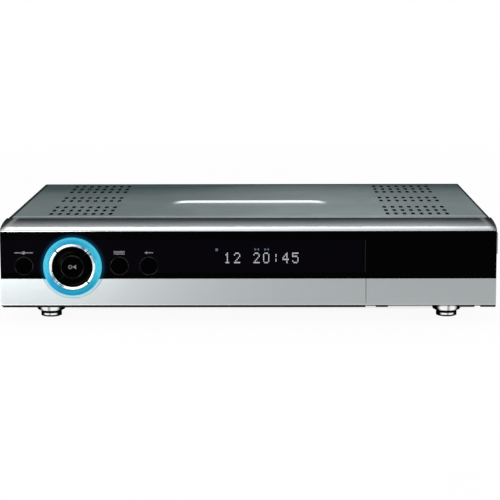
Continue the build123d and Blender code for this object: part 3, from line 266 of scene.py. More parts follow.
direct = seen * open_floor(SEEN_UNDER_START, UNDER_FADE)
mirrored = camera_ray.sibling("Is Glossy Ray") * open_floor(MIRRORED_UNDER_START, 4 * MM)
share = open_share * larger(direct, mirrored)
add(tree, "ShaderNodeOutputMaterial", add(tree, "ShaderNodeMixShader", share, lit, glow))
floor_mesh.materials.append(floor_finish)

world = bpy.data.worlds.new("studio")
bpy.context.scene.world = world
tree = empty_tree(world)
right, _, up = axes(add(tree, "ShaderNodeTexCoord", give="Generated"))
shade = blend(remap(up, 0.15, 0.56), (0.024, 0.033, 0.035), (0.47, 0.48, 0.49))
strength = remap(right, -0.5, 0.5, 0.8, 1.25)
add(tree, "ShaderNodeOutputWorld", add(tree, "ShaderNodeBackground", shade, strength))
print("floor and world ready")

# %% [markdown]
# ## The lamps
# The light above is split in three. Two strong strips, before and behind, draw the white line
# along the front of the cabinet, and the weaker one between them keeps the same silver from
# bleaching when it is seen from above. Two low lamps at the left brighten the front from that
# side, and a small one at the right fills in. One lamp over everything would be simpler, but it
# either bleaches that line or leaves it grey.

# %% Lamps
LAMPS = {
    "overhead_back": ((0.0, 0.37, 0.62), (0.0, 0.37, 0.0), (2.0, 0.66), 4.4),
    "overhead_middle": ((0.0, -0.13, 0.62), (0.0, -0.13, 0.0), (2.0, 0.34), 1.2),
    "overhead_front": ((0.0, -0.55, 0.62), (0.0, -0.55, 0.0), (2.0, 0.5), 3.3),
    "front_left": ((-0.82, -1.13, 0.09), (-0.82, 0.0, 0.09), (1.2, 0.18), 5.3),
    "low_left": ((-0.36, -0.62, 0.09), (-0.36, 0.0, 0.09), (0.42, 0.18), 1.1),
    "front_right": ((1.2, -1.3, 0.5), (0.0, 0.0, 0.05), (0.7, 0.7), 1.6),
}


def softbox(name, place_at, look_at, size, power):
    """A rectangular lamp that faces a point and isn't seen by the camera."""
    data = bpy.data.lights.new(name, "AREA")
    data.shape = "RECTANGLE"
    data.size, data.size_y = size
    data.energy = power
    lamp = put(name, data)
    lamp.location = place_at
    direction = Vector(look_at) - Vector(place_at)
    lamp.rotation_euler = direction.to_track_quat("-Z", "Y").to_euler()
    lamp.visible_camera = False


for lamp_name, settings in LAMPS.items():
    softbox(lamp_name, *settings)
print("lamps:", *LAMPS)

# %% [markdown]
# ## Effects that several finishes share
# Worn edges, fine grain, dust and finger marks turn up on many surfaces. Each is a small node
# group, built once and placed in a finish with its own values. A group gives out a mask or a
# height only, and the finish decides what to do with it.

# %% Shared effects
def effect(name, output, **inputs):
    """An empty shader group, with a vector input for each None; returns it and what it is given."""
    group = bpy.data.node_groups.new(name, "ShaderNodeTree")
    for label, start in inputs.items():
        kind = "NodeSocketVector" if start is None else "NodeSocketFloat"
        socket = group.interface.new_socket(label, in_out="INPUT", socket_type=kind)
        if start is not None:
            socket.default_value = start
    group.interface.new_socket(output, in_out="OUTPUT", socket_type="NodeSocketFloat")
    given = add(group, "NodeGroupInput")
    return group, *(given.sibling(label) for label in inputs)


def edge_effect():
    """A mask that is 1 where two faces meet and 0 on the flat."""
    group, width, amount = effect("edge_wear", "Mask", Width=0.0005, Amount=1.0)
    rounded = add(group, "ShaderNodeBevel", width, samples=4)
    same = add(group, "ShaderNodeVectorMath", rounded, facing(group), give="Value", operation="DOT_PRODUCT")
    add(group, "NodeGroupOutput", remap(same, 0.99, 0.8) * amount)
    return group


def grain_effect():
    """Fine and coarse noise together, about 0 to 1."""
    group, vector, scale = effect("grain", "Value", Vector=None, Scale=1200.0)
    both = noise(vector, scale, 4.0) * 0.65 + noise(vector, scale * 0.12, 2.0) * 0.35
    add(group, "NodeGroupOutput", remap(both, 0.3, 0.7, smooth=False))
    return group


def dust_effect():
    """A thin uneven layer on what faces up."""
    group, vector, amount = effect("dust", "Mask", Vector=None, Amount=0.2)
    upward = remap(axes(facing(group))[2], 0.5, 0.95)
    patchy = remap(noise(vector, 45.0, 5.0, 0.7), 0.35, 0.75)
    add(group, "NodeGroupOutput", upward * (patchy * amount))
    return group


def smudge_effect():
    """Finger marks: broad soft patches, from Low to High."""
    group, vector, low, high = effect("smudge", "Value", Vector=None, Low=0.05, High=0.2)
    broad = remap(noise(vector, 38.0, 5.0, 0.65), 0.4, 0.7)
    add(group, "NodeGroupOutput", low + broad * (high - low))
    return group


EDGE, GRAIN, DUST, SMUDGE = edge_effect(), grain_effect(), dust_effect(), smudge_effect()


def use(tree, group, *values):
    """Places a shared effect in a finish and gives its output."""
    return add(tree, "ShaderNodeGroup", *values, node_tree=group)


print("effects:", [group.name for group in (EDGE, GRAIN, DUST, SMUDGE)])

# %% [markdown]
# ## A finish to start from
# Every finish is one Principled shader. Plain numbers that are the same all over the surface
# stay on the shader's own sockets; only what varies is linked.

# %% The shader
FINISHES = {}


def finish(name, colour, roughness, metallic=0.0, **plain):
    """A material with one Principled shader; returns its node tree."""
    material = bpy.data.materials.new(name)
    material.use_nodes = True
    values = {"Base Color": (*colour, 1.0), "Roughness": roughness, "Metallic": metallic}
    values.update({key.replace("_", " "): value for key, value in plain.items()})
    for key, value in values.items():
        material.node_tree.nodes["Principled BSDF"].inputs[key].default_value = value
    FINISHES[name] = material
    return material.node_tree


def feed(tree, **looks):
    """Links what varies to the shader of a finish."""
    for key, value in looks.items():
        tree.links.new(value.socket, tree.nodes["Principled BSDF"].inputs[key.replace("_", " ")])


def relief(tree, height, depth, strength=1.0, corner=0.0):
    """Bumps a surface by a height, for a relief of that depth, and rounds its corners a little."""
    rounded = {"Normal": add(tree, "ShaderNodeBevel", corner, samples=4)} if corner else {}
    bump = add(tree, "ShaderNodeBump", Strength=strength, Distance=depth, Height=height, **rounded)
    feed(tree, Normal=bump)


print("shader helper ready")

# %% [markdown]
# ## Cabinet metal and front lacquer
# The cover is bent sheet with a satin grey lacquer that holds metal powder: half mirror, half
# paint, with the faint stipple that spraying leaves. The front moulding is plastic, sprayed
# silver and clear-coated, so it is brighter and smoother. A sharp mirror would show the lamps
# as shapes, and plain paint would stay flat, so both lie between.

# %% Cover metal
# The top darkens from its front to its back, and a little more towards its left and right: this is painted
# shade.
BACK_SHADE_FROM, BACK_SHADE_TO, BACK_SHADE_POWER = -90 * MM, 125 * MM, 2.6
LINE_HALF = 60 * MM
cover_low, cover_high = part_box("top_cover")
sheet_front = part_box("front_bezel")[1].y
tree = finish("cover_metal", (0.36, 0.41, 0.41), 0.35, metallic=0.7, Specular_IOR_Level=0.04)
here = place(tree)
x, y, z = axes(here)
stipple = use(tree, GRAIN, here, 1500.0)
back_shade = remap(y, BACK_SHADE_FROM, BACK_SHADE_TO, smooth=False) ** BACK_SHADE_POWER
side_shade = remap(x, 50 * MM, -100 * MM, 0.0, 0.40) + remap(x, 60 * MM, 160 * MM, 0.0, 0.24)
front_tone = blend(stipple, (0.385, 0.445, 0.445), (0.435, 0.50, 0.50))
shaded_back_tone = blend(stipple, (0.045, 0.085, 0.09), (0.06, 0.105, 0.11))
dusty = use(tree, DUST, here, 0.05)
# Painted highlight: the front edge of the sheet is paler. Painted shade: the bends are black.
near_top = edge_at(z, cover_high.z, -2.4, -1.6)
front_edge_highlight = band_at(y, sheet_front, 1.4, 4.2) * near_top
left_bend = edge_at(x, cover_low.x, 4.2, 3.2)
right_bend = edge_at(x, cover_high.x, -3.4, -2.4)
back_bend = edge_at(y, cover_high.y, -7.0, -5.0)
shaded_bends = larger(larger(left_bend, right_bend), back_bend) * near_top
# Painted highlight: the slopes of the pressed line are paler, fading at its ends. Painted shade: the walls of
# the punched holes are black.
slope = abs(axes(facing(tree))[2])
on_top = edge_at(z, cover_high.z, -2.0, -1.0)
line_highlight = between(slope, 0.80, 0.985, 0.01) * on_top * edge_at(abs(x), LINE_HALF, 0, -10)
inner = edge_at(abs(x), cover_high.x, -4, -5)
inner = inner * between(y, cover_low.y + 6 * MM, cover_high.y - 2 * MM)
shaded_hole_walls = inner * remap(slope, 0.6, 0.3)
tone = layered(
    blend(back_shade + side_shade, front_tone, shaded_back_tone), (dusty, (0.45, 0.44, 0.42)), (front_edge_highlight, (0.70, 0.74, 0.74)),
    (shaded_bends, (0.004, 0.005, 0.005)), (line_highlight, (0.86, 0.90, 0.90)), (shaded_hole_walls, (0.006, 0.006, 0.006)),
)
powder = remap(back_shade, 0.0, 1.0, 0.7, 0.48, smooth=False)
rough = use(tree, SMUDGE, here, 0.29, 0.33) + stipple * 0.04
feed(tree, Base_Color=tone, Metallic=(1.0 - larger(shaded_hole_walls, shaded_bends)) * powder,
     Roughness=remap(shaded_hole_walls, 0.0, 1.0, rough, 0.95))
relief(tree, stipple, 0.00003, 0.25, corner=0.9 * MM)
print("cover metal ready")

# %% Where the ring sits
ring_low, ring_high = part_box("ring_light_guide")
RING_X = (ring_low.x + ring_high.x) / 2
RING_Z = (ring_low.z + ring_high.z) / 2
RING_R = 20.0 * MM
COLLAR_R = 21.5 * MM


def ring_distance(tree):
    """How far a point of the front lies from the middle of the ring."""
    flat = place(tree, (RING_X, 0.0, RING_Z), (1.0, 0.0, 1.0))
    return add(tree, "ShaderNodeVectorMath", flat, give="Value", operation="LENGTH")


print("ring at", round(RING_X, 4), round(RING_Z, 4), "radius", RING_R)

# %% Silver lacquer
WINDOW_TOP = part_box("front_window")[1].z
END_SLANT = 1.3
bezel_low, bezel_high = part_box("front_bezel")
tree = finish("silver_plastic", (0.45, 0.475, 0.48), 0.2, metallic=1.0, Specular_IOR_Level=0.04)
here = place(tree)
x, _, rise = axes(here)
crown = edge_at(rise, WINDOW_TOP, -0.4, 0.1)
flake = use(tree, GRAIN, here, 900.0)
band = blend(flake, (0.405, 0.435, 0.44), (0.42, 0.45, 0.455))
# The crown is smoother than the band, and its paler tone is a painted highlight.
paler_crown_tone = blend(flake, (0.725, 0.745, 0.75), (0.755, 0.775, 0.78))
# Painted shade: the ends of the crown are black where it meets the bends of the cover, and so is the lowest
# edge.
corner = bezel_high.x + END_SLANT * WINDOW_TOP
shaded_crown_ends = edge_at(abs(x) + rise * END_SLANT, corner, -3.4, 2.6)
black = larger(shaded_crown_ends, edge_at(rise, bezel_low.z, 0.6, 0.45))
# Painted highlight: a pale line just above the lowest edge.
low_edge_highlight = band_at(rise, bezel_low.z, 0.6, 1.2, 0.2) * 0.35
# Painted shade darkens the right: on the lip above the window, and at the end of the crown.
lip = band_at(rise, WINDOW_TOP, -0.3, 1.9, 0.6)
lip_shade_right = lip * remap(x, -150 * MM, 150 * MM)
crown_end_shade = crown * remap(x, 120 * MM, 168 * MM, 0.0, 0.5)
from_ring = ring_distance(tree)
# Painted light: the collar round the ring takes the ring's blue.
collar = edge_at(from_ring, COLLAR_R, 0.1, -0.1)
# Painted shadow: a dark line round the outside of the collar.
seat = band_at(from_ring, COLLAR_R, 0.2, 0.7, 0.15) * 0.5
tone = layered(
    blend(crown, band, paler_crown_tone), (low_edge_highlight, (0.8, 0.82, 0.82)), (lip_shade_right, (0.42, 0.44, 0.45)),
    (crown_end_shade, (0.28, 0.30, 0.31)), (collar, (0.42, 0.72, 0.87)), (seat, (0.10, 0.12, 0.13)),
    (use(tree, EDGE, 0.0004, 0.3), (0.85, 0.87, 0.87)), (black, (0.008, 0.009, 0.009)),
)
satin = remap(noise(here, 22.0, 1.0), 0.3, 0.7, 0.275, 0.288)
gloss = use(tree, SMUDGE, here, 0.09, 0.12)
feed(tree, Base_Color=tone, Metallic=1.0 - black,
     Roughness=remap(larger(crown, collar), 0.0, 1.0, satin, gloss))
relief(tree, noise(here, 240.0, 1.0), 0.00002, 0.2)
print("cabinet finishes ready")

# %% [markdown]
# ## The black front
# The window is smoked plastic with a polished face, painted black behind except where the
# display shines through. The lit ring throws a little blue into it. That glow fades with the
# distance from the ring's centre, so it is worked out from the coordinates.

# %% Smoked window
CLEAR_LOW, CLEAR_HIGH = 34.3 * MM, 56.8 * MM
SEAM_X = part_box("door_window")[0].x
tree = finish("smoked_window", (0.003, 0.003, 0.004), 0.1, Specular_IOR_Level=0.012, Emission_Strength=0.8)
here = place(tree)
x, _, z = axes(here)
in_height = between(z, CLEAR_LOW, CLEAR_HIGH)
clear = in_height * edge_at(x, SEAM_X, 0, -4)
# Its cut end by the door shows as a faint line.
cut_end = band_at(x, SEAM_X, -1.1, -0.3, 0.1) * in_height
tone = blend(clear, (0.0002, 0.0002, 0.0003), (0.0012, 0.0008, 0.002))
halo = edge_at(ring_distance(tree), RING_R, 5, -0.5) ** 3.0
feed(tree, Base_Color=blend(cut_end, tone, (0.009, 0.010, 0.011)),
     Roughness=use(tree, SMUDGE, here, 0.05, 0.12),
     Emission_Color=blend(halo, (0.0, 0.0, 0.0), (0.004, 0.06, 0.13)))
print("window ready")

# %% Black plastics
tree = finish("black_gloss", (0.001, 0.001, 0.001), 0.1, Specular_IOR_Level=0.006)
worn = use(tree, EDGE, 0.0004, 0.8)
feed(tree, Base_Color=blend(worn, (0.0003, 0.0003, 0.0004), (0.009, 0.009, 0.010)),
     Roughness=use(tree, SMUDGE, place(tree), 0.06, 0.16))

tree = finish("black_plastic", (0.012, 0.012, 0.013), 0.45)
stipple = use(tree, GRAIN, place(tree), 1800.0)
tone = blend(stipple, (0.009, 0.009, 0.01), (0.02, 0.02, 0.022))
feed(tree, Base_Color=blend(use(tree, EDGE, 0.0005, 0.6), tone, (0.07, 0.07, 0.075)),
     Roughness=remap(stipple, 0.0, 1.0, 0.38, 0.55))
relief(tree, stipple, 0.00005, 0.6)
print("black finishes ready")

# %% [markdown]
# ## The lit ring and its bright trim
# A clear blue ring leads the light of eight small lamps to the front. It is brightest at its
# left and right, and dimmer above and below. A real light guide would be slow to render and
# noisy, so the ring shines by itself, with colours that follow the angle around its middle, and
# it keeps a smooth face for the studio's lamps.

# %% Lit ring
# From the left, through the bottom, the right and the top, back to the left.
RING_COLOURS = [
    (0.00, (0.10, 0.74, 1.00)),
    (0.12, (0.022, 0.43, 0.74)),
    (0.19, (0.014, 0.34, 0.55)),
    (0.36, (0.012, 0.38, 0.51)),
    (0.50, (0.065, 0.71, 0.91)),
    (0.75, (0.018, 0.40, 0.65)),
    (1.00, (0.10, 0.74, 1.00)),
]
tree = finish("blue_guide", (0.0, 0.06, 0.1), 0.35, Specular_IOR_Level=0.12, Emission_Strength=0.72)
x, _, z = axes(place(tree, (RING_X, 0.0, RING_Z)))
turn_share = calc("ARCTAN2", z, x) / (2 * pi) + 0.5
glow = add(tree, "ShaderNodeValToRGB", turn_share)
ramp = glow.socket.node.color_ramp
ramp.interpolation = "EASE"
while len(ramp.elements) < len(RING_COLOURS):
    ramp.elements.new(0.5)
for step, (position, colour) in zip(ramp.elements, RING_COLOURS):
    step.position = position
    step.color = (*colour, 1.0)
from_middle = ring_distance(tree)
streaks = add(tree, "ShaderNodeCombineXYZ", turn_share * 16.0, from_middle * 700.0, 0.0)
dim = remap(noise(streaks, 1.6, 2.0), 0.38, 0.68, 0.0, 0.45)
rim = band_at(from_middle, RING_R, -1.3, 0.2, 0.4)
bright = rim * remap(z, -15 * MM, -4 * MM, 0.0, 0.5)
feed(tree, Emission_Color=layered(glow, (dim, (0.002, 0.20, 0.42)), (bright, (0.13, 0.82, 1.0))))
print("lit ring ready")

# %% Plated trim
# The curved plate carries painted reflections, dark and blue patches: the middle, half width and
# softness of each in degrees around the ring, and its colour. The two narrow ones darken joints between the
# arcs.
REFLECTIONS_AND_JOINTS = [
    (-149.0, 8.0, 7.0, (0.20, 0.36, 0.50)),
    (-122.0, 6.0, 6.0, (0.12, 0.34, 0.42)),
    (-18.0, 12.0, 14.0, (0.55, 0.74, 0.80)),
    (21.0, 8.0, 10.0, (0.50, 0.60, 0.64)),
    (36.0, 4.0, 4.0, (0.06, 0.20, 0.30)),
    (60.0, 7.0, 5.0, (0.08, 0.22, 0.36)),
    (80.0, 14.0, 10.0, (0.42, 0.54, 0.62)),
    (-45.0, 2.4, 0.8, (0.003, 0.03, 0.04)),
    (135.0, 2.4, 0.8, (0.003, 0.03, 0.04)),
]
tree = finish("chrome_trim", (0.86, 0.88, 0.9), 0.07, metallic=1.0)
here = place(tree)
x, _, z = axes(place(tree, (RING_X, 0.0, RING_Z)))
angle = calc("DEGREES", calc("ARCTAN2", z, x))
tint_with_reflections = (0.91, 0.93, 0.94)
for middle, half_width, soft, colour in REFLECTIONS_AND_JOINTS:
    tint_with_reflections = blend(between(angle, middle - half_width, middle + half_width, soft), tint_with_reflections, colour)
feed(tree, Base_Color=blend(use(tree, GRAIN, here, 500.0) * 0.12, tint_with_reflections, (0.9, 0.91, 0.92)),
     Roughness=use(tree, SMUDGE, here, 0.05, 0.13))
print("plated trim ready")

# %% [markdown]
# ## The feet
# The feet are small plated cups. Their black groove and black rim are painted shade. The bright
# patches with hard borders and the dark sides, where plate would mirror the dark underside of the
# cabinet, are painted reflections. The patches lie at fixed angles around each foot, so they stay when the
# view turns.

# %% Plated feet
cup_low, cup_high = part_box("foot_cups")
CUP_R = 11.5 * MM
GROOVE_LOW = cup_low.z + 2.6 * MM
RIM_LOW = cup_high.z - 1.5 * MM
foot_x, foot_y = cup_high.x - CUP_R, (cup_low.y + cup_high.y) / 2
reach_y = (cup_high.y - cup_low.y) / 2 - CUP_R
tree = finish("bright_cup", (0.9, 0.9, 0.9), 0.1, metallic=1.0, Specular_Tint=(0.02, 0.02, 0.02, 1.0))
here = place(tree)
x, y, z = axes(here)
beside = abs(x) - foot_x
outward = abs(y - foot_y) - reach_y
arm = calc("SQRT", abs(beside) ** 2.0 + abs(outward) ** 2.0)
lean_share = beside / larger(arm, 0.0001)
# Painted reflections: a grey stripe down the front and back of each cup, and dark sides.
reflected_patches = blend(between(lean_share, -0.03, 0.15, 0.07), (0.95, 0.95, 0.95), (0.40, 0.41, 0.41))
reflected_dark_sides = remap(abs(lean_share), 0.45, 0.72)
# Painted shade: the groove and the rim are black, and so is the lowest band of the cup.
groove = band_at(z, GROOVE_LOW, -0.55, 1.15, 0.1)
rim = edge_at(z, RIM_LOW, -0.2, 0.2)
foot = edge_at(z, cup_low.z, 1.0, 0.7)
dark = larger(larger(groove, rim), foot)
feed(tree, Base_Color=layered(reflected_patches, (reflected_dark_sides, (0.012, 0.014, 0.014)), (dark, (0.004, 0.004, 0.004))),
     Roughness=use(tree, SMUDGE, here, 0.07, 0.14))
print("feet ready")

# %% [markdown]
# ## Bare metals
# Zinc plate shows pale crystals, called spangle. Drawn and extruded aluminium shows fine lines
# along its length. Nickel and brass are smooth and a little stained. One function makes the
# crystals from Voronoi cells, another makes lines from noise that is stretched along one axis.

# %% Zinc, nickel, brass and aluminium
def spangled(name, dark, light, scale, roughness, black_shade_to=None):
    """Zinc or tin plate with pale crystals, painted black as shade in front of a given depth."""
    tree = finish(name, light, roughness, metallic=0.9)
    here = place(tree)
    cells = add(tree, "ShaderNodeTexVoronoi", give="Color", Vector=here, Scale=scale)
    crystal = add(tree, "ShaderNodeSeparateColor", cells)
    tone = layered(blend(crystal, dark, light), (use(tree, EDGE, 0.0005, 0.5), (0.85, 0.86, 0.86)))
    if black_shade_to is not None:
        bare = edge_at(axes(here)[1], black_shade_to, -0.3, 0.3)
        tone = blend(bare, (0.003, 0.003, 0.003), tone)
    feed(tree, Base_Color=tone, Roughness=crystal * 0.12 + (roughness - 0.06))
    relief(tree, use(tree, GRAIN, here, 900.0), 0.00002, 0.4)


def drawn(name, colour, along, roughness):
    """Metal with fine lines along one axis."""
    tree = finish(name, colour, roughness, metallic=1.0)
    lines = noise(place(tree, scale=along), 900.0, 3.0)
    dim = [0.78 * value for value in colour]
    feed(tree, Base_Color=blend(remap(lines, 0.3, 0.7), dim, colour),
         Roughness=remap(lines, 0.3, 0.7, roughness - 0.05, roughness + 0.1))
    relief(tree, lines, 0.00002, 0.5)


def stained(name, colour, stain, roughness):
    """Smooth plated metal with broad pale and dark patches."""
    tree = finish(name, colour, roughness, metallic=1.0)
    here = place(tree)
    patches = remap(noise(here, 160.0, 4.0), 0.35, 0.7)
    bright = [min(1.0, 1.2 * value) for value in colour]
    feed(tree, Base_Color=layered(blend(patches, colour, stain), (use(tree, EDGE, 0.0003, 0.6), bright)),
         Roughness=use(tree, SMUDGE, here, roughness, roughness + 0.12))


# The front edge of the tray is painted black as shade under the front moulding.
spangled("chassis_steel", (0.50, 0.51, 0.52), (0.62, 0.63, 0.64), 160.0, 0.38, black_shade_to=front_y + 14 * MM)
spangled("tin_can", (0.62, 0.62, 0.60), (0.74, 0.74, 0.72), 90.0, 0.26)
drawn("aluminium", (0.77, 0.78, 0.79), (1.0, 1.0, 0.04), 0.3)
stained("steel", (0.60, 0.61, 0.62), (0.45, 0.46, 0.47), 0.24)
stained("nickel", (0.74, 0.72, 0.68), (0.62, 0.58, 0.52), 0.16)
stained("brass", (0.80, 0.60, 0.27), (0.55, 0.40, 0.18), 0.22)
print("metals ready")

# %% [markdown]
# ## Rubber, ferrite, moulded chips and film
# These are dull and dark, or pale and thin. Their character is a fine stipple with a soft sheen,
# so one function serves them all, with its own colours, size of grain and depth.

# %% Dull materials
def moulded(name, dark, light, scale, depth, low, high):
    """A dull surface with a stipple of that scale, and roughness from low to high."""
    tree = finish(name, light, high)
    here = place(tree)
    stipple = use(tree, GRAIN, here, scale)
    paler = [0.6 * value + 0.06 for value in light]
    feed(tree, Base_Color=layered(blend(stipple, dark, light), (use(tree, EDGE, 0.0004, 0.3), paler)),
         Roughness=remap(stipple, 0.0, 1.0, low, high))
    relief(tree, stipple, depth, 0.5)
    return tree, here


moulded("rubber", (0.008, 0.008, 0.008), (0.022, 0.022, 0.022), 1400.0, 0.00008, 0.6, 0.8)
moulded("magnet", (0.02, 0.02, 0.022), (0.06, 0.06, 0.065), 2600.0, 0.00005, 0.5, 0.7)
moulded("chip", (0.012, 0.012, 0.014), (0.024, 0.024, 0.028), 2600.0, 0.00003, 0.42, 0.6)

LANE_PITCH, LANE_GROOVE = 1.25 * MM, 0.16
tree, here = moulded("ribbon", (0.70, 0.70, 0.67), (0.80, 0.80, 0.77), 700.0, 0.00002, 0.3, 0.4)
groove = calc("FRACT", axes(here)[0] * (1 / LANE_PITCH)) < LANE_GROOVE
feed(tree, Base_Color=blend(groove, (0.78, 0.78, 0.75), (0.36, 0.36, 0.35)))

WIRE_PAIR = 4.8 * MM
tree, here = moulded("wire", (0.3, 0.02, 0.02), (0.5, 0.03, 0.03), 500.0, 0.00001, 0.3, 0.4)
red = calc("FRACT", axes(here)[1] * (1 / WIRE_PAIR)) < 0.5
feed(tree, Base_Color=blend(red, (0.02, 0.02, 0.02), (0.5, 0.03, 0.02)))
print("dull materials ready")

# %% [markdown]
# ## Circuit boards
# A board is glass cloth under a green mask. Copper tracks run below the mask, a shade lighter,
# and tinned pads stand bare. Drawing real tracks would take a layout; cells whose borders run
# straight and square give the same rhythm of lanes and corners.

# %% Board, display glass and lamps
PAD_PITCH = 2.54 * MM
tree = finish("board", (0.01, 0.12, 0.05), 0.35, Coat_Weight=0.3, Coat_Roughness=0.2)
here = place(tree)


def lanes(scale, distance, period, width):
    """Tracks of that width around cells, measured with one kind of distance."""
    cells = add(tree, "ShaderNodeTexVoronoi", give="Distance", Vector=here, Scale=scale,
                distance=distance)
    return calc("PINGPONG", cells, period) > width


track = lanes(190.0, "CHEBYCHEV", 0.1, 0.055)
fine = lanes(420.0, "MANHATTAN", 0.12, 0.09)
grid = add(tree, "ShaderNodeVectorMath", here, (1 / PAD_PITCH,) * 3, operation="MULTIPLY")
x, y, _ = axes(add(tree, "ShaderNodeVectorMath", grid, operation="FRACTION"))
radius = calc("SQRT", (x - 0.5) ** 2.0 + (y - 0.5) ** 2.0)
pad = (radius < 0.28) * (noise(here, 120.0, 1.0) > 0.56)
tone = blend(larger(track, fine), (0.008, 0.10, 0.04), (0.02, 0.2, 0.08))
feed(tree, Base_Color=blend(pad, tone, (0.62, 0.62, 0.58)), Metallic=pad)
relief(tree, larger(track, pad), 0.00004, 0.7)

tree = finish("display_glass", (0.02, 0.05, 0.055), 0.08, Coat_Weight=0.5)
here = place(tree)
feed(tree, Base_Color=blend(noise(here, 300.0, 2.0), (0.012, 0.03, 0.035), (0.03, 0.06, 0.065)),
     Roughness=use(tree, SMUDGE, here, 0.05, 0.1))

tree = finish("led", (0.5, 0.75, 0.9), 0.2, Emission_Strength=1.5)
core = use(tree, GRAIN, place(tree), 800.0)
feed(tree, Emission_Color=blend(core, (0.3, 0.65, 1.0), (0.6, 0.85, 1.0)),
     Base_Color=blend(core, (0.5, 0.7, 0.85), (0.7, 0.85, 0.9)))

END_CAP = 5.0 * MM
fuse_low, fuse_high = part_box("fuse_holder")
tree = finish("fuse_glass", (0.75, 0.8, 0.8), 0.12, Coat_Weight=0.4)
here = place(tree)
feed(tree, Metallic=1.0 - between(axes(here)[1], fuse_low.y + END_CAP, fuse_high.y - END_CAP),
     Roughness=use(tree, SMUDGE, here, 0.08, 0.2))
print("boards and glass ready")

# %% Transformer and capacitors
CORE_HALF = 10.0 * MM
LAMINATION = 0.7 * MM
low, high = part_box("transformer")
middle_y = (low.y + high.y) / 2
tree = finish("core", (0.1, 0.1, 0.1), 0.4)
here = place(tree)
_, y, _ = axes(here)
laminations = calc("FRACT", y * (1 / LAMINATION))
iron = blend(laminations < 0.22, (0.11, 0.11, 0.12), (0.03, 0.03, 0.03))
tape = blend(use(tree, GRAIN, here, 500.0), (0.55, 0.42, 0.05), (0.68, 0.54, 0.10))
in_core = between(y, middle_y - CORE_HALF, middle_y + CORE_HALF, 0.0001)
feed(tree, Base_Color=blend(in_core, tape, iron), Metallic=in_core * 0.6)
relief(tree, laminations, 0.00006, 0.5)

tree = finish("capacitor", (0.02, 0.03, 0.09), 0.3)
here = place(tree)
to_right, _, upward = axes(facing(tree))
lid = remap(upward, 0.8, 0.95)
stripe = remap(to_right, 0.9, 0.93)
sleeve = blend(use(tree, GRAIN, here, 400.0), (0.016, 0.022, 0.07), (0.03, 0.04, 0.11))
feed(tree, Base_Color=layered(sleeve, (stripe, (0.5, 0.52, 0.55)), (lid, (0.72, 0.72, 0.72))),
     Metallic=lid, Roughness=use(tree, SMUDGE, here, 0.25, 0.36))
print("power parts ready")

# %% [markdown]
# ## Every solid takes its finish
# The record of the part names a finish for each solid. The smoked window, the ring and the
# black pieces all keep their own, and nothing is left in plain grey.

# %% Dress the solids
for part in frame["record"]["subparts"]:
    solid = frame["nodes"][part["node"]]
    solid.data.materials.clear()
    solid.data.materials.append(FINISHES[part["material_slot"]])

# %% [markdown]
# ## Things that repeat
# The characters of the display are dots on a grid, the sockets hold rows of contacts, and the
# aerial connectors carry a thread. Each could be modelled by hand, copy after copy. Geometry
# Nodes do it better: a small tree takes a few points or sizes and puts one shape on all of them.
# The result is turned into a plain mesh, so that nothing depends on the tree afterwards.

# %% Geometry trees
def geometry_tree(name, *sizes):
    """A tree that takes geometry, a material and named sizes; returns it and what it is given."""
    tree = bpy.data.node_groups.new(name, "GeometryNodeTree")
    kinds = {"Geometry": "NodeSocketGeometry", "Material": "NodeSocketMaterial"}
    kinds.update(dict.fromkeys(sizes, "NodeSocketFloat"))
    for label, kind in kinds.items():
        tree.interface.new_socket(label, in_out="INPUT", socket_type=kind)
    tree.interface.new_socket("Geometry", in_out="OUTPUT", socket_type="NodeSocketGeometry")
    given = add(tree, "NodeGroupInput")
    return tree, *(given.sibling(label) for label in kinds)


def combine(tree, *lengths):
    """A vector made of three lengths."""
    return add(tree, "ShaderNodeCombineXYZ", *lengths)


def close_tree(points, shape, material, **placing):
    """Ends a tree: the shape on every point, as real geometry with its material."""
    tree = points.tree
    spread = add(tree, "GeometryNodeInstanceOnPoints", Points=points, Instance=shape, **placing)
    real = add(tree, "GeometryNodeRealizeInstances", spread)
    coated = add(tree, "GeometryNodeSetMaterial", real, Material=material)
    add(tree, "NodeGroupOutput", coated)
    return tree


def keep_piece(name, mesh, body):
    """A finished mesh becomes a piece of the receiver."""
    piece = put(name, mesh)
    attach(piece, body)


def grow(name, spots, tree, finish_name, sizes, body=BODY, faces=()):
    """Runs a tree on points, or on flat faces between them, and keeps the result as a plain mesh."""
    seed = bpy.data.meshes.new(name + "_points")
    seed.from_pydata([tuple(spot) for spot in spots], [], list(faces))
    source = put(name + "_source", seed)
    modifier = source.modifiers.new("tree", "NODES")
    modifier.node_group = tree
    values = {"Material": FINISHES[finish_name], **sizes}
    for item in tree.interface.items_tree:
        if item.in_out == "INPUT" and item.name in values:
            modifier[item.identifier] = values[item.name]
    bpy.context.view_layer.update()
    grown = bpy.data.meshes.new_from_object(source.evaluated_get(bpy.context.evaluated_depsgraph_get()))
    source.modifiers.clear()
    bpy.data.objects.remove(source)
    shape = bmesh.new()
    shape.from_mesh(grown)
    bmesh.ops.recalc_face_normals(shape, faces=shape.faces)
    shape.to_mesh(grown)
    shape.free()
    grown.name = name
    keep_piece(name, grown, body)
    print(name, len(grown.polygons), "faces")


def points_tree(name, sizes, shape, **placing):
    """A tree that puts a shape on every point; shape builds it from the named sizes."""
    tree, points, material, *lengths = geometry_tree(name, *sizes)
    return close_tree(points, shape(tree, *lengths), material, **placing)


def block(tree, width, depth, height):
    """A block around its middle."""
    return add(tree, "GeometryNodeMeshCube", combine(tree, width, depth, height))


def pin(tree, radius, length):
    """A round pin, upright."""
    return add(tree, "GeometryNodeMeshCylinder", Vertices=16, Radius=radius, Depth=length)


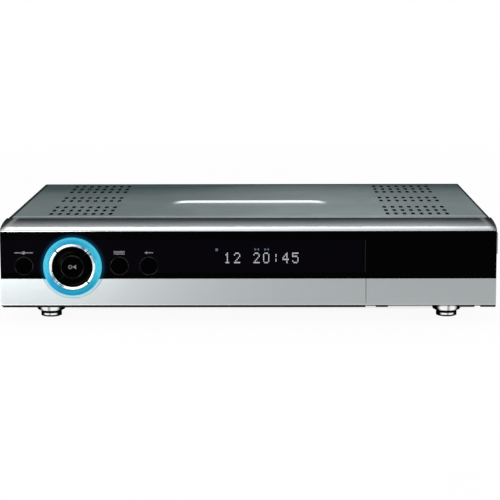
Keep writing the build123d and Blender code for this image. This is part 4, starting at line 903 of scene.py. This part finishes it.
def tube(tree, radius, wall, length):
    """A short tube that is open at both ends, upright."""
    path = add(tree, "GeometryNodeCurvePrimitiveCircle", Resolution=40, Radius=radius)
    section = add(tree, "GeometryNodeCurvePrimitiveQuadrilateral", Width=wall, Height=length)
    return add(tree, "GeometryNodeCurveToMesh", path, section)


def thread(tree, radius, length, pitch, ridge):
    """A thread ridge, upright."""
    helix = add(tree, "GeometryNodeCurveSpiral", Resolution=32, Rotations=length / pitch,
                Start_Radius=radius, End_Radius=radius, Height=length)
    section = add(tree, "GeometryNodeCurvePrimitiveCircle", Resolution=4, Radius=ridge)
    return add(tree, "GeometryNodeCurveToMesh", helix, section, Fill_Caps=True)


TO_FRONT, TO_BACK = (pi / 2, 0.0, 0.0), (-pi / 2, 0.0, 0.0)
BLOCKS = points_tree("blocks_on_points", ["Width", "Depth", "Height"], block)
PINS = points_tree("pins_on_points", ["Radius", "Length"], pin, Rotation=TO_FRONT)
TUBES = points_tree("tubes_on_points", ["Radius", "Wall", "Length"], tube, Rotation=TO_FRONT)
THREADS = points_tree("threads_on_points", ["Radius", "Length", "Pitch", "Ridge"], thread, Rotation=TO_BACK)
print("trees:", [tree.name for tree in (BLOCKS, PINS, TUBES, THREADS)])

# %% [markdown]
# ## The display
# Behind the window a dot-matrix display shows eight characters in cells of five by seven dots.
# Here it shows a channel number and a time, as such a receiver does in use. The digits are
# written as rows of marks, which is the way that the real character table is drawn, and every
# mark becomes one glowing dot.

# %% Glow and print
tree = finish("display_dots", (0.02, 0.02, 0.02), 0.4, Emission_Strength=0.9)
uneven = noise(place(tree), 260.0, 2.0)
feed(tree, Emission_Color=blend(uneven, (0.42, 0.46, 0.48), (0.75, 0.78, 0.80)),
     Base_Color=blend(uneven, (0.01, 0.01, 0.01), (0.04, 0.04, 0.04)))

tree = finish("display_icons", (0.01, 0.02, 0.03), 0.4, Emission_Strength=0.8)
uneven = noise(place(tree), 500.0, 2.0)
feed(tree, Emission_Color=blend(uneven, (0.01, 0.05, 0.08), (0.06, 0.14, 0.20)),
     Base_Color=blend(uneven, (0.01, 0.01, 0.02), (0.02, 0.03, 0.04)))

tree = finish("grey_print", (0.30, 0.30, 0.30), 0.5)
thin = remap(noise(place(tree), 900.0, 3.0), 0.35, 0.65)
feed(tree, Base_Color=blend(thin, (0.06, 0.06, 0.065), (0.20, 0.20, 0.21)),
     Roughness=remap(thin, 0.0, 1.0, 0.45, 0.6))

# Painted highlight: the dim grey where light catches the edges round the buttons.
tree = finish("button_edge_highlight", (0.02, 0.02, 0.02), 0.5, Specular_IOR_Level=0.1)
patchy = remap(noise(place(tree), 170.0, 2.0), 0.40, 0.60)
feed(tree, Base_Color=blend(patchy, (0.002, 0.002, 0.002), (0.032, 0.032, 0.034)))
print("glow and print ready")

# %% Characters
DIGITS = {
    "0": (" ### ", "#   #", "#   #", "#   #", "#   #", "#   #", " ### "),
    "1": ("  #  ", " ##  ", "  #  ", "  #  ", "  #  ", "  #  ", " ### "),
    "2": (" ### ", "#   #", "    #", "   # ", "  #  ", " #   ", "#####"),
    "4": ("   # ", "  ## ", " # # ", "#  # ", "#####", "   # ", "   # "),
    "5": ("#####", "#    ", "#### ", "    #", "    #", "#   #", " ### "),
    ":": ("     ", "  #  ", "  #  ", "     ", "  #  ", "  #  ", "     "),
    " ": ("     ",) * 7,
}
SHOWN = "12 20:45"
FACE_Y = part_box("front_window")[0].y
SKIN = 0.04 * MM
CELL_PITCH = 6.65 * MM
DOT_PITCH_X, DOT_PITCH_Z = 0.88 * MM, 1.08 * MM
FIRST_DOT_X, TOP_DOT_Z = -15.96 * MM, 47.6 * MM
dots = [
    (FIRST_DOT_X + cell * CELL_PITCH + column * DOT_PITCH_X, FACE_Y - SKIN, TOP_DOT_Z - row * DOT_PITCH_Z)
    for cell, character in enumerate(SHOWN)
    for row, marks in enumerate(DIGITS[character])
    for column, mark in enumerate(marks)
    if mark == "#"
]
DOT = {"Width": 0.64 * MM, "Depth": 2 * SKIN, "Height": 0.84 * MM}
grow("display_characters", dots, BLOCKS, "display_dots", DOT)

# %% [markdown]
# ## Flat marks
# The icons of the display and the print above the buttons are thin flat shapes. Text would be
# wrong here, because the receiver carries no names. Plain discs, bars and arrows take the place
# of the words, at the size that the words have.

# %% Flat shapes
def disc(x, z, radius, steps=24):
    """The outline of a disc in the plane of the front."""
    angles = [2 * pi * k / steps for k in range(steps)]
    return [(x + radius * cos(angle), z + radius * sin(angle)) for angle in angles]


def bar(x, z, width, height):
    """The outline of an upright rectangle, by its middle."""
    return [(x + i * width / 2, z + k * height / 2) for i, k in SQUARE]


def arrow(x, z, width, height, way):
    """A triangle that points left (-1) or right (1)."""
    back, point = x - way * width / 2, x + way * width / 2
    return [(back, z - way * height / 2), (point, z), (back, z + way * height / 2)]


def on_face(y, way=-1):
    """Puts a flat shape on a face that looks to the front (-1) or to the back (1)."""
    return lambda x, z, lift: (x * MM, y + way * lift, z * MM)


def keep_shape(name, shape, finish_name, body):
    """Ends a shape that was built face by face: faces outward, one finish, one piece."""
    bmesh.ops.recalc_face_normals(shape, faces=shape.faces)
    mesh = bpy.data.meshes.new(name)
    shape.to_mesh(mesh)
    shape.free()
    mesh.materials.append(FINISHES[finish_name])
    keep_piece(name, mesh, body)


def print_flat(name, outlines, spot, thickness, finish_name, body):
    """Thin plates with the given outlines; spot gives the place of a point and its lift."""
    shape = bmesh.new()
    for outline in outlines:
        low = [shape.verts.new(spot(x, z, 0.0)) for x, z in outline]
        high = [shape.verts.new(spot(x, z, thickness)) for x, z in outline]
        shape.faces.new(high)
        shape.faces.new(low[::-1])
        for k, corner in enumerate(low):
            after = (k + 1) % len(low)
            shape.faces.new((corner, low[after], high[after], high[k]))
    print(name, len(outlines), "shapes")
    keep_shape(name, shape, finish_name, body)


print("shape helpers ready")

# %% Icons and labels
# Places on the front are in millimetres.
ICON_Z = 50.2
icons = [disc(-21.5, 50.0, 1.0)]
for x in (5.9, 12.7):
    icons += [arrow(x - 0.8, ICON_Z, 1.5, 2.0, 1), arrow(x + 0.8, ICON_Z, 1.5, 2.0, -1)]
print_flat("display_icons", icons, on_face(FACE_Y), SKIN, "display_icons", BODY)

LABEL_Z, KEY_Z = 48.0, 38.8
STANDBY_X, MENU_X, EXIT_X = -153.9, -88.3, -68.1
labels = [disc(STANDBY_X, LABEL_Z, 1.1)]
labels += [bar(STANDBY_X + offset, LABEL_Z, 2.4, 0.7) for offset in (-5.2, -2.6, 2.6, 5.2)]
labels += [bar(MENU_X, LABEL_Z + offset, 7.6, 0.5) for offset in (-0.9, 0.0, 0.9)]
labels += [arrow(EXIT_X - 2.0, LABEL_Z, 1.9, 2.2, -1), bar(EXIT_X + 1.0, LABEL_Z, 4.0, 0.6)]
print_flat("button_marks", labels, on_face(FACE_Y), SKIN, "grey_print", BODY)

OK_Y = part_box("ok_button")[0].y
OK_X, OK_Z = RING_X / MM, RING_Z / MM
ok_marks = [arrow(OK_X + 1.4, OK_Z, 2.6, 3.0, -1)]
print_flat("ok_mark", ok_marks, on_face(OK_Y), SKIN, "grey_print", "ok_button_body")


def flat_rings(name, middles, finish_name, radius, wall, body=BODY):
    """Flat rings of that radius and line width, in millimetres: print, or painted highlights."""
    sizes = {"Radius": radius * MM, "Wall": wall * MM, "Length": 2 * SKIN}
    grow(name, middles, TUBES, finish_name, sizes, body=body)


# The rings round the buttons and on the OK key are painted highlights along their edges.
HIGHLIGHT_WALL = 0.35
ring_middle = (OK_X * MM - 1.3 * MM, OK_Y - SKIN, RING_Z)
key_middles = [(x * MM, FACE_Y - SKIN, KEY_Z * MM) for x in (STANDBY_X, MENU_X, EXIT_X)]
flat_rings("ok_ring_mark", [ring_middle], "grey_print", 1.1, 0.6, "ok_button_body")
flat_rings("button_edge_highlights", key_middles, "button_edge_highlight", 6.2, HIGHLIGHT_WALL)
flat_rings("ok_edge_highlight", [(RING_X, OK_Y - SKIN, RING_Z)], "button_edge_highlight", 7.7, HIGHLIGHT_WALL, "ok_button_body")

# %% [markdown]
# ## The bowls of the feet
# Each foot widens to a bowl under the cabinet. The bowl is a turned shape, as from a lathe: an
# outline of radius and height runs once around an upright axis. A lathe tool would do, but
# rings of points that are joined in order are just as short and always close.

# %% Turned bowls
BOWL_STEPS = 48
BOWL_OUTLINE = [(7.3, 3.75), (9.3, 4.75), (9.85, 5.6), (9.95, 7.4), (9.0, 7.4), (7.0, 4.0)]


def turned(name, outline, middles, steps, finish_name):
    """A closed outline of radius and height in millimetres, turned around each middle."""
    shape = bmesh.new()
    for x, y in middles:
        rings = []
        for k in range(steps):
            way_x, way_y = cos(2 * pi * k / steps) * MM, sin(2 * pi * k / steps) * MM
            rings.append([shape.verts.new((x + r * way_x, y + r * way_y, z * MM)) for r, z in outline])
        for k, ring in enumerate(rings):
            after = rings[(k + 1) % steps]
            for i in range(len(outline)):
                j = (i + 1) % len(outline)
                shape.faces.new((ring[i], ring[j], after[j], after[i]))
    print(name, len(middles), "turned shapes")
    keep_shape(name, shape, finish_name, BODY)


foot_middles = [(i * foot_x, foot_y + k * reach_y) for i in (-1, 1) for k in (-1, 1)]
turned("foot_bowls", BOWL_OUTLINE, foot_middles, BOWL_STEPS, "bright_cup")

# %% [markdown]
# ## The scart sockets
# Each scart socket holds a comb of black plastic with ten contacts above and ten below, set half
# a step apart. A texture of stripes would look flat from the side, so the comb is built from
# its teeth: two rows of blocks on a web, with a thin metal contact deep in every gap.

# %% Combs and contacts
scart_low, scart_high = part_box("scart_sockets")
SCART_WIDTH = 50.0 * MM
MOUTH_DEPTH = 11.0 * MM
CONTACT_COUNT, CONTACT_PITCH = 10, 3.6 * MM
ROW_SHIFT = 0.9 * MM
COMB_DEPTH, CONTACT_DEPTH = 9.5 * MM, 8.4 * MM
TOOTH_RISE, CONTACT_RISE = 1.8 * MM, 1.4 * MM
scart_z = (scart_low.z + scart_high.z) / 2
mouth_floor = scart_high.y - MOUTH_DEPTH
comb_y, contact_y = mouth_floor + COMB_DEPTH / 2, mouth_floor + CONTACT_DEPTH / 2
webs, teeth, contacts = [], [], []
for socket_x in (scart_low.x + SCART_WIDTH / 2, scart_high.x - SCART_WIDTH / 2):
    webs.append((socket_x, comb_y, scart_z))
    for row in (-1, 1):
        row_x = socket_x + row * ROW_SHIFT
        for k in range(CONTACT_COUNT + 1):
            tooth_x = row_x + (k - CONTACT_COUNT / 2) * CONTACT_PITCH
            teeth.append((tooth_x, comb_y, scart_z + row * TOOTH_RISE))
        for k in range(CONTACT_COUNT):
            contact_x = row_x + (k - (CONTACT_COUNT - 1) / 2) * CONTACT_PITCH
            contacts.append((contact_x, contact_y, scart_z + row * CONTACT_RISE))
TOOTH = {"Width": 2.4 * MM, "Depth": COMB_DEPTH, "Height": 2.4 * MM}
WEB = {"Width": 39.0 * MM, "Depth": COMB_DEPTH, "Height": 1.4 * MM}
CONTACT = {"Width": 0.9 * MM, "Depth": CONTACT_DEPTH, "Height": 1.5 * MM}
grow("scart_teeth", teeth, BLOCKS, "black_plastic", TOOTH)
grow("scart_webs", webs, BLOCKS, "black_plastic", WEB)
grow("scart_contacts", contacts, BLOCKS, "nickel", CONTACT)

# %% [markdown]
# ## The round sockets and the serial port
# The aerial connectors carry a fine thread with an insulator inside, each phono jack shows a
# ring in the colour of its signal, and the serial port has nine gilded pins. Real threads are
# cut as a groove. Here a thin ridge is wound around the barrel, which needs far fewer faces and
# catches the light in the same way.

# %% Aerial connectors
f_low, f_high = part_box("f_connectors")
SHANK_R = 5.0 * MM
THREAD_R = 4.76 * MM
THREAD_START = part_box("f_connector_nuts")[1].y + 0.5 * MM
THREAD_LENGTH = f_high.y - THREAD_START - 0.4 * MM
aerial_z = (f_low.z + f_high.z) / 2
aerial_xs = (f_low.x + SHANK_R, f_high.x - SHANK_R)
THREAD = {"Radius": THREAD_R, "Length": THREAD_LENGTH, "Pitch": 0.794 * MM, "Ridge": 0.2 * MM}
threads = [(x, THREAD_START, aerial_z) for x in aerial_xs]
grow("aerial_threads", threads, THREADS, "nickel", THREAD)

INSULATOR = {"Radius": 2.7 * MM, "Wall": 1.8 * MM, "Length": 0.3 * MM}
moulded("insulator", (0.60, 0.59, 0.55), (0.72, 0.71, 0.67), 1500.0, 0.00002, 0.4, 0.55)
insulators = [(x, f_high.y, aerial_z) for x in aerial_xs]
grow("aerial_insulators", insulators, TUBES, "insulator", INSULATOR)

# %% Phono jacks
JACK_PITCH = 14.0 * MM
JACK_RING = {"Radius": 2.65 * MM, "Wall": 1.7 * MM, "Length": 0.5 * MM}
JACK_COLOURS = {
    "yellow": ((0.70, 0.50, 0.02), (0.80, 0.60, 0.03)),
    "orange": ((0.62, 0.20, 0.01), (0.74, 0.27, 0.02)),
    "white": ((0.66, 0.66, 0.64), (0.76, 0.76, 0.74)),
    "red": ((0.45, 0.01, 0.01), (0.58, 0.02, 0.02)),
}
jack_low, jack_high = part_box("rca_jacks")
jack_middles = [
    (side_x, jack_high.y, side_z)
    for side_z in (jack_high.z - JACK_PITCH / 2, jack_low.z + JACK_PITCH / 2)
    for side_x in (jack_high.x - JACK_PITCH / 2, jack_low.x + JACK_PITCH / 2)
]
for (colour, (dark, light)), middle in zip(JACK_COLOURS.items(), jack_middles):
    moulded("jack_" + colour, dark, light, 1600.0, 0.00002, 0.28, 0.4)
    grow("jack_ring_" + colour, [middle], TUBES, "jack_" + colour, JACK_RING)

# %% Serial port
serial_low, serial_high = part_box("serial_port")
SHELL_DEPTH = 5.3 * MM
PIN_LENGTH = 4.6 * MM
PIN_PITCH, ROW_HALF = 2.77 * MM, 1.42 * MM
serial_x = (serial_low.x + serial_high.x) / 2
serial_z = (serial_low.z + serial_high.z) / 2
shell_floor = serial_high.y - SHELL_DEPTH
pins = []
for count, row_z in ((5, serial_z + ROW_HALF), (4, serial_z - ROW_HALF)):
    for k in range(count):
        pins.append((serial_x + (k - (count - 1) / 2) * PIN_PITCH, shell_floor + PIN_LENGTH / 2, row_z))
grow("serial_pins", pins, PINS, "brass", {"Radius": 0.5 * MM, "Length": PIN_LENGTH})

half_outline = [(6.6, 3.4), (7.5, 2.5), (6.5, -2.6), (5.6, -3.4)]
outline = half_outline + [(-x, z) for x, z in reversed(half_outline)]
outline = [(serial_x / MM + x, serial_z / MM + z) for x, z in outline]
print_flat("serial_insulator", [outline], on_face(shell_floor, 1), 0.6 * MM,
           "black_plastic", BODY)

# %% [markdown]
# ## Marks on the back
# The rocker carries the two plain marks of such a switch, a bar and a ring, moulded into its
# dished face. A flat plate would stand off a dished face at its ends, so each point of the bar is
# worked out on the dish. The panel has unlettered print: an arrow at each aerial connector and
# a line over each group of sockets.

# %% Rocker marks
ROCKER_FACE, ROCKER_DISH, ROCKER_DISH_R = 6.0 * MM, 1.6 * MM, 32.0 * MM
ROCKER_TILT = radians(-9.0)
ROCKER_SETBACK = 3.5 * MM
MARK_RISE = 5.0
switch_low, switch_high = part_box("power_switch_body")
axis_x = (switch_low.x + switch_high.x) / 2
axis_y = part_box("rear_panel")[1].y - ROCKER_SETBACK
axis_z = (switch_low.z + switch_high.z) / 2


def on_rocker(across, up, lift):
    """A point of the dished face, raised by a lift."""
    rise = up * MM
    reach = ROCKER_FACE - ROCKER_DISH + ROCKER_DISH_R - sqrt(ROCKER_DISH_R ** 2 - rise ** 2) + lift
    y = axis_y + reach * cos(ROCKER_TILT) - rise * sin(ROCKER_TILT)
    z = axis_z + reach * sin(ROCKER_TILT) + rise * cos(ROCKER_TILT)
    return (axis_x + across * MM, y, z)


moulded("white_print", (0.55, 0.55, 0.54), (0.68, 0.68, 0.66), 900.0, 0.00001, 0.5, 0.6)
print_flat("rocker_bar", [bar(0.0, MARK_RISE, 0.9, 3.4)], on_rocker, 0.1 * MM,
           "white_print", "rocker")
ROCKER_RING = {"Radius": 1.5 * MM, "Wall": 0.6 * MM, "Length": 0.2 * MM}
ring_spot = on_rocker(0.0, -MARK_RISE, 0.03 * MM)
grow("rocker_ring", [ring_spot], TUBES, "white_print", ROCKER_RING, body="rocker")

# %% Panel print
# Places on the panel are in millimetres. A line stands over its sockets, and is shorter than they are.
ARROW_OVER, ARROW_WIDTH, ARROW_HEIGHT = 9.5, 3.2, 2.8
LINE_WIDTH, TICK = 0.4, 1.6
moulded("dark_print", (0.012, 0.012, 0.013), (0.03, 0.03, 0.032), 900.0, 0.00001, 0.5, 0.65)
panel_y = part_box("rear_panel")[1].y


def over(low_x, high_x, top, shorter, gap):
    """A line over a group of sockets, with a short tick at each end."""
    low_x, high_x, z = low_x / MM + shorter, high_x / MM - shorter, top / MM + gap
    middle, width = (low_x + high_x) / 2, high_x - low_x
    ticks = [bar(x, z - TICK / 2, LINE_WIDTH, TICK) for x in (low_x, high_x)]
    return [bar(middle, z, width, LINE_WIDTH)] + ticks


def upright(x, z, width, height, way):
    """A triangle that points down (-1) or up (1)."""
    base = z - way * height / 2
    return [(x - width / 2, base), (x + width / 2, base), (x, z + way * height / 2)]


prints = []
for x, way in zip(aerial_xs, (-1, 1)):
    prints.append(upright(x / MM, aerial_z / MM + ARROW_OVER, ARROW_WIDTH, ARROW_HEIGHT, way))
prints += over(scart_low.x, scart_low.x + SCART_WIDTH, scart_high.z, 3.0, 3.4)
prints += over(scart_high.x - SCART_WIDTH, scart_high.x, scart_high.z, 3.0, 3.4)
prints += over(jack_low.x, jack_high.x, jack_high.z, 1.0, 2.0)
prints += over(serial_low.x, serial_high.x, serial_high.z, 5.0, 3.0)
print_flat("panel_print", prints, on_face(panel_y, 1), SKIN, "dark_print", BODY)

# %% [markdown]
# ## Small parts on the main board
# A board of this kind carries hundreds of tiny resistors and capacitors: a dark body with a
# tinned end on each side. Placing them by hand would take a day. A tree spreads points over
# the free fields of the board, never closer than a set distance, and turns each part a quarter
# or not. The same seed runs twice, once for the bodies and once for the longer, lower ends.

# %% Scattered parts
def scatter_tree():
    """Blocks of mixed size that stand on a flat field, each turned a quarter or not."""
    names = ("Width", "Depth", "Height", "Spacing", "Density")
    tree, field, material, width, depth, height, spacing, density = geometry_tree("blocks_scattered", *names)
    points = add(tree, "GeometryNodeDistributePointsOnFaces", distribute_method="POISSON",
                 Mesh=field, Distance_Min=spacing, Density_Max=density, Seed=7)
    seat = combine(tree, 0.0, 0.0, height * 0.5)
    upright_block = block(tree, width, depth, height)
    standing = add(tree, "GeometryNodeTransform", upright_block, Translation=seat)
    quarter = add(tree, "FunctionNodeRandomValue", give=2, data_type="INT", at={4: 0, 5: 1}, Seed=3)
    rotation = combine(tree, 0.0, 0.0, quarter * (pi / 2))
    scale = add(tree, "FunctionNodeRandomValue", give=1, data_type="FLOAT", at={2: 0.8, 3: 1.7}, Seed=5)
    return close_tree(points, standing, material, Rotation=rotation, Scale=scale)


SCATTER = scatter_tree()
board_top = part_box("main_board")[1].z
# The free fields of the board, in millimetres: left, front, right and back.
FREE_FIELDS = [(-60, 52, 90, 92), (-60, -80, 15, -15), (-62, -5, -12, 44)]
field_corners, field_faces = [], []
for x0, y0, x1, y1 in FREE_FIELDS:
    start = len(field_corners)
    field_corners += [(x * MM, y * MM, board_top) for x, y in ((x0, y0), (x1, y0), (x1, y1), (x0, y1))]
    field_faces.append(tuple(range(start, start + 4)))
SPREAD = {"Spacing": 5.0 * MM, "Density": 60000.0}
BODIES = {"Width": 1.5 * MM, "Depth": 1.1 * MM, "Height": 0.75 * MM, **SPREAD}
ENDS = {"Width": 2.2 * MM, "Depth": 1.0 * MM, "Height": 0.6 * MM, **SPREAD}
grow("board_parts", field_corners, SCATTER, "chip", BODIES, faces=field_faces)
grow("board_part_ends", field_corners, SCATTER, "tin_can", ENDS, faces=field_faces)

# %% [markdown]
# ## The last lines
# The view stays at the plain transform, so a colour on the screen is the colour in the finish.

# %% Colour view
bpy.context.scene.view_settings.view_transform = "Standard"
